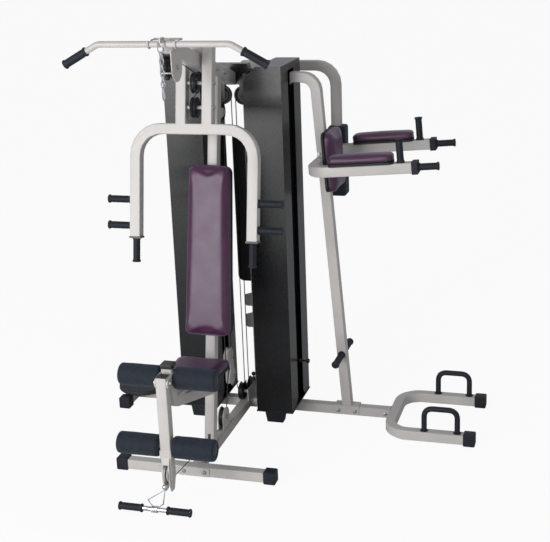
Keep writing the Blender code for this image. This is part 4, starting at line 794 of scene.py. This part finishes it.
def stuffed(name, core, cap):
    """The core remeshed and swollen by cloth pressure over a fixed underside, in the pad's own axes."""
    work = bpy.data.objects.new(name + "_core", core)
    bpy.context.scene.collection.objects.link(work)
    remesh = work.modifiers.new("even_cells", "REMESH")
    remesh.mode = "VOXEL"
    remesh.voxel_size = STUFF_VOXEL
    remesh.use_smooth_shade = True
    bpy.context.view_layer.update()
    mesh = bpy.data.meshes.new_from_object(work.evaluated_get(bpy.context.evaluated_depsgraph_get()))
    bpy.data.objects.remove(work)
    rest = [vert.co.copy() for vert in mesh.vertices]
    cover = bpy.data.objects.new(name + "_cover", mesh)
    bpy.context.scene.collection.objects.link(cover)
    held = cover.vertex_groups.new(name="stapled")
    held.add([i for i, co in enumerate(rest) if co.z < BOARD_THICK + 0.007], 1.0, "REPLACE")
    cloth = cover.modifiers.new("swell", "CLOTH")
    cloth.settings.use_pressure = True
    cloth.settings.uniform_pressure_force = 4.0
    cloth.settings.vertex_group_mass = held.name
    cloth.settings.quality = 4
    cloth.settings.tension_stiffness = 40.0
    cloth.settings.compression_stiffness = 40.0
    cloth.settings.shear_stiffness = 20.0
    cloth.settings.bending_stiffness = 2.0
    cloth.settings.effector_weights.gravity = 0.0
    cloth.collision_settings.use_collision = False
    cloth.point_cache.frame_start = 1
    cloth.point_cache.frame_end = SWELL_FRAMES
    for number in range(1, SWELL_FRAMES + 1):
        bpy.context.scene.frame_set(number)
    swollen = bpy.data.meshes.new_from_object(cover.evaluated_get(bpy.context.evaluated_depsgraph_get()))
    bpy.data.objects.remove(cover)
    bpy.context.scene.frame_set(1)
    for vert, start_place in zip(swollen.vertices, rest):
        move = vert.co - start_place
        if move.length > cap:
            vert.co = start_place + move * (cap / move.length)
    return swollen


def pad(name, node_name, matrix, width, length, thick, top_width=None, corner=0.033, rim=0.018):
    """One pad: board, stuffed cover and welt. Local X is its width, Y its length and Z points out of it."""
    top_width = top_width or width
    slack = 0.0035
    height = thick - BOARD_THICK - 0.006
    core = foam_core(
        name, width - 2 * slack, length - 2 * slack, height, top_width - 2 * slack, corner, rim
    )
    mesh = stuffed(name, core, 0.006)
    bm = bmesh.new()
    bm.from_mesh(mesh)
    for _ in range(8):
        bmesh.ops.smooth_vert(
            bm, verts=bm.verts, factor=0.5, use_axis_x=True, use_axis_y=True, use_axis_z=True
        )
    for face in bm.faces:
        face.smooth = True
    surface = BVHTree.FromBMesh(bm)
    place = Matrix.Translation(STATION) @ matrix
    bm.transform(place)
    bm.to_mesh(mesh)
    bm.free()
    cover = placed(name, mesh, leatherette, "frame")
    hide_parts(node_name)
    outline = []
    for index, (sx, sy) in enumerate(((1, 1), (-1, 1), (-1, -1), (1, -1))):
        half_x = (top_width if sy > 0 else width) / 2
        for step in range(9):
            turn = math.radians(90 * index + 90 * step / 8)
            outline.append(
                (
                    sx * (half_x - corner) + corner * math.cos(turn),
                    sy * (length / 2 - corner) + corner * math.sin(turn),
                )
            )
    rows = []
    dense = []
    for (x0, y0), (x1, y1) in zip(outline, outline[1:] + outline[:1]):
        count = max(1, round(math.hypot(x1 - x0, y1 - y0) / 0.02))
        dense += [(x0 + (x1 - x0) * k / count, y0 + (y1 - y0) * k / count) for k in range(count)]
    for level, thread in ((BOARD_THICK + height - rim * 0.92, 0.0011), (BOARD_THICK + 0.0016, 0.0018)):
        ring = []
        for x, y in dense:
            hit = surface.find_nearest(Vector((x * 1.01, y * 1.005, level)))[0]
            ring.append(place @ hit)
        rows.append((ring, thread))
    for (ring, thread), kind in zip(rows, ("welt", "piping")):
        mesh = bent_bar(f"{name}_{kind}", ring + ring[:2], thread, 8)
        finish = leatherette if kind == "welt" else board_vinyl
        placed(f"{name}_{kind}", mesh, finish, "frame")
    bm = bmesh.new()
    middle = Matrix.Translation((0, 0, BOARD_THICK / 2))
    size = (width - 0.008, length - 0.008, BOARD_THICK - 0.0004, 1.0)
    bmesh.ops.create_cube(bm, size=1.0, matrix=middle @ Matrix.Diagonal(size))
    for vert in bm.verts:
        if vert.co.y > 0:
            vert.co.x *= top_width / width
    uprights = [e for e in bm.edges if abs(e.verts[0].co.z - e.verts[1].co.z) > BOARD_THICK / 2]
    bmesh.ops.bevel(
        bm,
        geom=uprights,
        offset=corner,
        offset_type="OFFSET",
        segments=8,
        profile=0.5,
        affect="EDGES",
        material=-1,
    )
    bm.transform(place)
    mesh = bpy.data.meshes.new(f"{name}_board")
    bm.to_mesh(mesh)
    bm.free()
    placed(f"{name}_board", mesh, board_vinyl, "frame")
    return cover


LEAN_COS = math.cos(PRESS_LEAN)
lean_up = Vector((0, math.sin(PRESS_LEAN), LEAN_COS))
lean_out = Vector((0, -LEAN_COS, math.sin(PRESS_LEAN)))


def pad_place(across, along, out, origin):
    matrix = Matrix((across, along, out)).transposed().to_4x4()
    matrix.translation = origin
    return matrix


back_foot = Vector((0, 0.218 + 0.194 * (0.606 - 0.056), 0.606))
origin = back_foot + lean_up * 0.411 + lean_out * 0.0003
place = pad_place(Vector((1, 0, 0)), lean_up, lean_out, origin)
pad("backrest_cover", "backrest_pad", place, 0.240, 0.822, 0.072, 0.214)

seat_slope = math.atan(0.055)
seat_along = Vector((0, -math.cos(seat_slope), math.sin(seat_slope)))
seat_up = Vector((0, math.sin(seat_slope), math.cos(seat_slope)))
seat_middle = 0.235 - 0.181
seat_height = 0.494 + 0.004 - 0.055 * (seat_middle + 0.237)
origin = Vector((0, seat_middle, seat_height)) + seat_up * 0.0128
place = pad_place(Vector((1, 0, 0)), seat_along, seat_up, origin)
pad("seat_cover", "seat_pad", place, 0.274, 0.362, 0.046, rim=0.012)

origin = Vector((0, 1.1253, 0.616 + 0.417))
matrix = pad_place(Vector((-1, 0, 0)), Vector((0, 0, 1)), Vector((0, 1, 0)), origin)
pad("rear_backrest_cover", "rear_backrest", matrix, 0.230, 0.834, 0.072)

for side, name in ((-1, "front"), (1, "rear")):
    root = dip_root + Vector((0, side * 0.2735, 0))
    origin = root + dip_along * (0.094 + 0.1585) + dip_up * 0.0253
    matrix = pad_place(Vector((0, -1, 0)), dip_along, dip_up, origin)
    pad(f"dip_arm_cover_{name}", f"dip_arm_pad_{name}", matrix, 0.100, 0.317, 0.055, corner=0.024, rim=0.014)
z = 1.220 + 0.1515
origin = Vector((0.557 - 0.0757 * (z - 0.0563), 0.849, z)) + dip_along * 0.0253
place = pad_place(Vector((0, 1, 0)), dip_up, dip_along, origin)
pad("dip_back_cover", "dip_back_pad", place, 0.240, 0.303, 0.060)

# ---- foam rollers ----
# Four sleeves of closed-cell foam, 100 mm across, pushed over the cross bars of the seat post and the leg
# lever. Their ends are soft and rounded, and a black plug closes the bar in each outer end.

ROLLER_PROFILE = [
    (0.0132, -0.0980),
    (0.0400, -0.0982),
    (0.0455, -0.0968),
    (0.0488, -0.0930),
    (0.0500, -0.0870),
    (0.0503, -0.0400),
    (0.0505, 0.0000),
    (0.0503, 0.0400),
    (0.0500, 0.0850),
    (0.0486, 0.0915),
    (0.0450, 0.0958),
    (0.0390, 0.0975),
    (0.0230, 0.0970),
    (0.0215, 0.0940),
    (0.0132, 0.0930),
]
ROLLER_PLUG = [(0.0, 0.0978), (0.010, 0.0976), (0.0185, 0.0966)]
ROLLER_PLUG += [(0.0212, 0.0950), (0.0212, 0.0925), (0.0, 0.0925)]
for level, y, z in (("upper", -0.237, 0.612), ("lower", -0.310, 0.310)):
    for side, name in ((-1, "left"), (1, "right")):
        body = f"roller_{level}_{name}"
        base = Vector((side * 0.132, y, z)) + STATION
        mesh = turned_mesh(f"{body}_foam", ROLLER_PROFILE, base, (side, 0, 0), 56, closed=True)
        bm = bmesh.new()
        bm.from_mesh(mesh)
        rings = [e for e in bm.edges if abs((e.verts[0].co - e.verts[1].co).x) > 0.03]
        bmesh.ops.subdivide_edges(bm, edges=rings, cuts=4, use_grid_fill=True)
        for vert in bm.verts:
            radial = Vector((0, vert.co.y - base.y, vert.co.z - base.z))
            if radial.length > 0.045:
                round_angle = radial.angle(Vector((0, 0, 1)))
                wave = math.sin(vert.co.x * 61 + side) * math.sin(round_angle * 3 + vert.co.x * 23)
                vert.co += radial.normalized() * 0.0005 * wave
        for face in bm.faces:
            face.smooth = True
        bm.to_mesh(mesh)
        bm.free()
        foam = placed(f"{body}_foam", mesh, closed_foam, body)
        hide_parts(body)
        mesh = turned_mesh(f"{body}_plug", ROLLER_PLUG, base, (side, 0, 0), 32)
        placed(f"{body}_plug", mesh, nylon, body)

# ---- bolts ----
# The machine is bolted together with zinc-plated hex bolts on washers, and the pulleys turn on them too.

BOLT_ACROSS = 0.0165
zinc = bpy.data.materials.new("bright_zinc_plated_steel")
tree = empty_tree(zinc)
dull = noise_at(tree, pattern_space(tree), 6.0, 3.0)
coated(
    tree,
    {"Metallic": 1.0},
    {"Base Color": toned(tree, dull, "#AEB2B8", "#C8CBD0"), "Roughness": ranged(tree, dull, 0.22, 0.36)},
)


def bolt_heads(name, body, places, across=BOLT_ACROSS):
    """Hex heads on washers at (place, axis) pairs, machine coordinates, joined into one piece."""
    whole = bmesh.new()
    for place, axis in places:
        bm = bmesh.new()
        washer = Matrix.Translation((0, 0, 0.0008))
        radius = across * 0.66
        bmesh.ops.create_cone(
            bm, cap_ends=True, segments=24, radius1=radius, radius2=radius * 0.97, depth=0.0016, matrix=washer
        )
        head = bmesh.ops.create_cone(
            bm,
            cap_ends=True,
            segments=6,
            radius1=across / 2 / math.cos(math.pi / 6),
            radius2=across / 2 / math.cos(math.pi / 6),
            depth=0.0060,
            matrix=Matrix.Translation((0, 0, 0.0045)),
        )["verts"]
        rim = [e for e in bm.edges if e.verts[0] in head and min(v.co.z for v in e.verts) > 0.007]
        bmesh.ops.bevel(
            bm,
            geom=rim,
            offset=0.0010,
            offset_type="OFFSET",
            segments=2,
            profile=0.5,
            affect="EDGES",
            material=-1,
        )
        bmesh.ops.create_cone(
            bm,
            cap_ends=True,
            segments=16,
            radius1=across * 0.30,
            radius2=across * 0.26,
            depth=0.0030,
            matrix=Matrix.Translation((0, 0, 0.0085)),
        )
        turn = Vector((0, 0, 1)).rotation_difference(Vector(axis)).to_matrix().to_4x4()
        bm.transform(Matrix.Translation(Vector(place) + STATION) @ turn)
        mesh = bpy.data.meshes.new("bolt")
        bm.to_mesh(mesh)
        bm.free()
        whole.from_mesh(mesh)
        bpy.data.meshes.remove(mesh)
    mesh = bpy.data.meshes.new(name)
    whole.to_mesh(mesh)
    whole.free()
    return placed(name, mesh, zinc, body)


LEFT, RIGHT = (-1, 0, 0), (1, 0, 0)
FORWARD, REARWARD = (0, -1, 0), (0, 1, 0)
bolt_heads(
    "frame_bolts",
    "frame",
    [((side * 0.052, -0.005, 0.031), FORWARD) for side in (-1, 1)]
    + [((0.025, y, 0.031), RIGHT) for y in (0.085, 0.160)]
    + [((-0.025, y, 0.031), LEFT) for y in (0.085, 0.160)]
    + [((side * 0.0165, 0.450, 0.115), (side, 0, 0)) for side in (-1, 1)]
    + [((side * 0.025, y, z), (side, 0, 0)) for side in (-1, 1) for y, z in ((0.549, 1.862), (0.654, 1.829))]
    + [((side * 0.030, 0.025, 1.940), (side, 0, 0)) for side in (-1, 1)]
    + [((side * 0.0250, 0.206, 0.365), (side, 0, 0)) for side in (-1, 1)]
    + [((0.441, 0.824, 1.404), FORWARD)]
    + [((0.764, 0.819, 0.031), FORWARD), ((0.764, 0.879, 0.031), REARWARD)]
    + [((0.557 + step, 0.8185, 0.031), FORWARD) for step in (-0.045, 0.045)]
    + [((0.557 + step, 0.8795, 0.031), REARWARD) for step in (-0.045, 0.045)]
    + [((side * 0.0165, 0.640, 1.640), (side, 0, 0)) for side in (-1, 1)]
    + [((side * 0.0320, -0.310, 0.615), (side, 0, 0)) for side in (-1, 1)],
)
block_places = []
for side in (-1, 1):
    for y, z in ((0.572, 0.394), (0.593, 0.281)):
        block_places.append(((side * 0.0165, y, z), (side, 0, 0)))
bolt_heads("block_bolts", "pulley_block", block_places, 0.014)
PRESS_AXLE_HEIGHTS = (1.8262, 1.7162)
press_places = []
for side in (-1, 1):
    for height in PRESS_AXLE_HEIGHTS:
        press_places.append((press_swing @ Vector((side * 0.088, 0.345, height)), (side, 0, 0)))
bolt_heads("press_pulley_bolts", "press_arm", press_places)
lever_places = [((side * 0.0180, -0.310, 0.1815), (side, 0, 0)) for side in (-1, 1)]
bolt_heads("lever_bolts", "leg_lever", lever_places, 0.014)
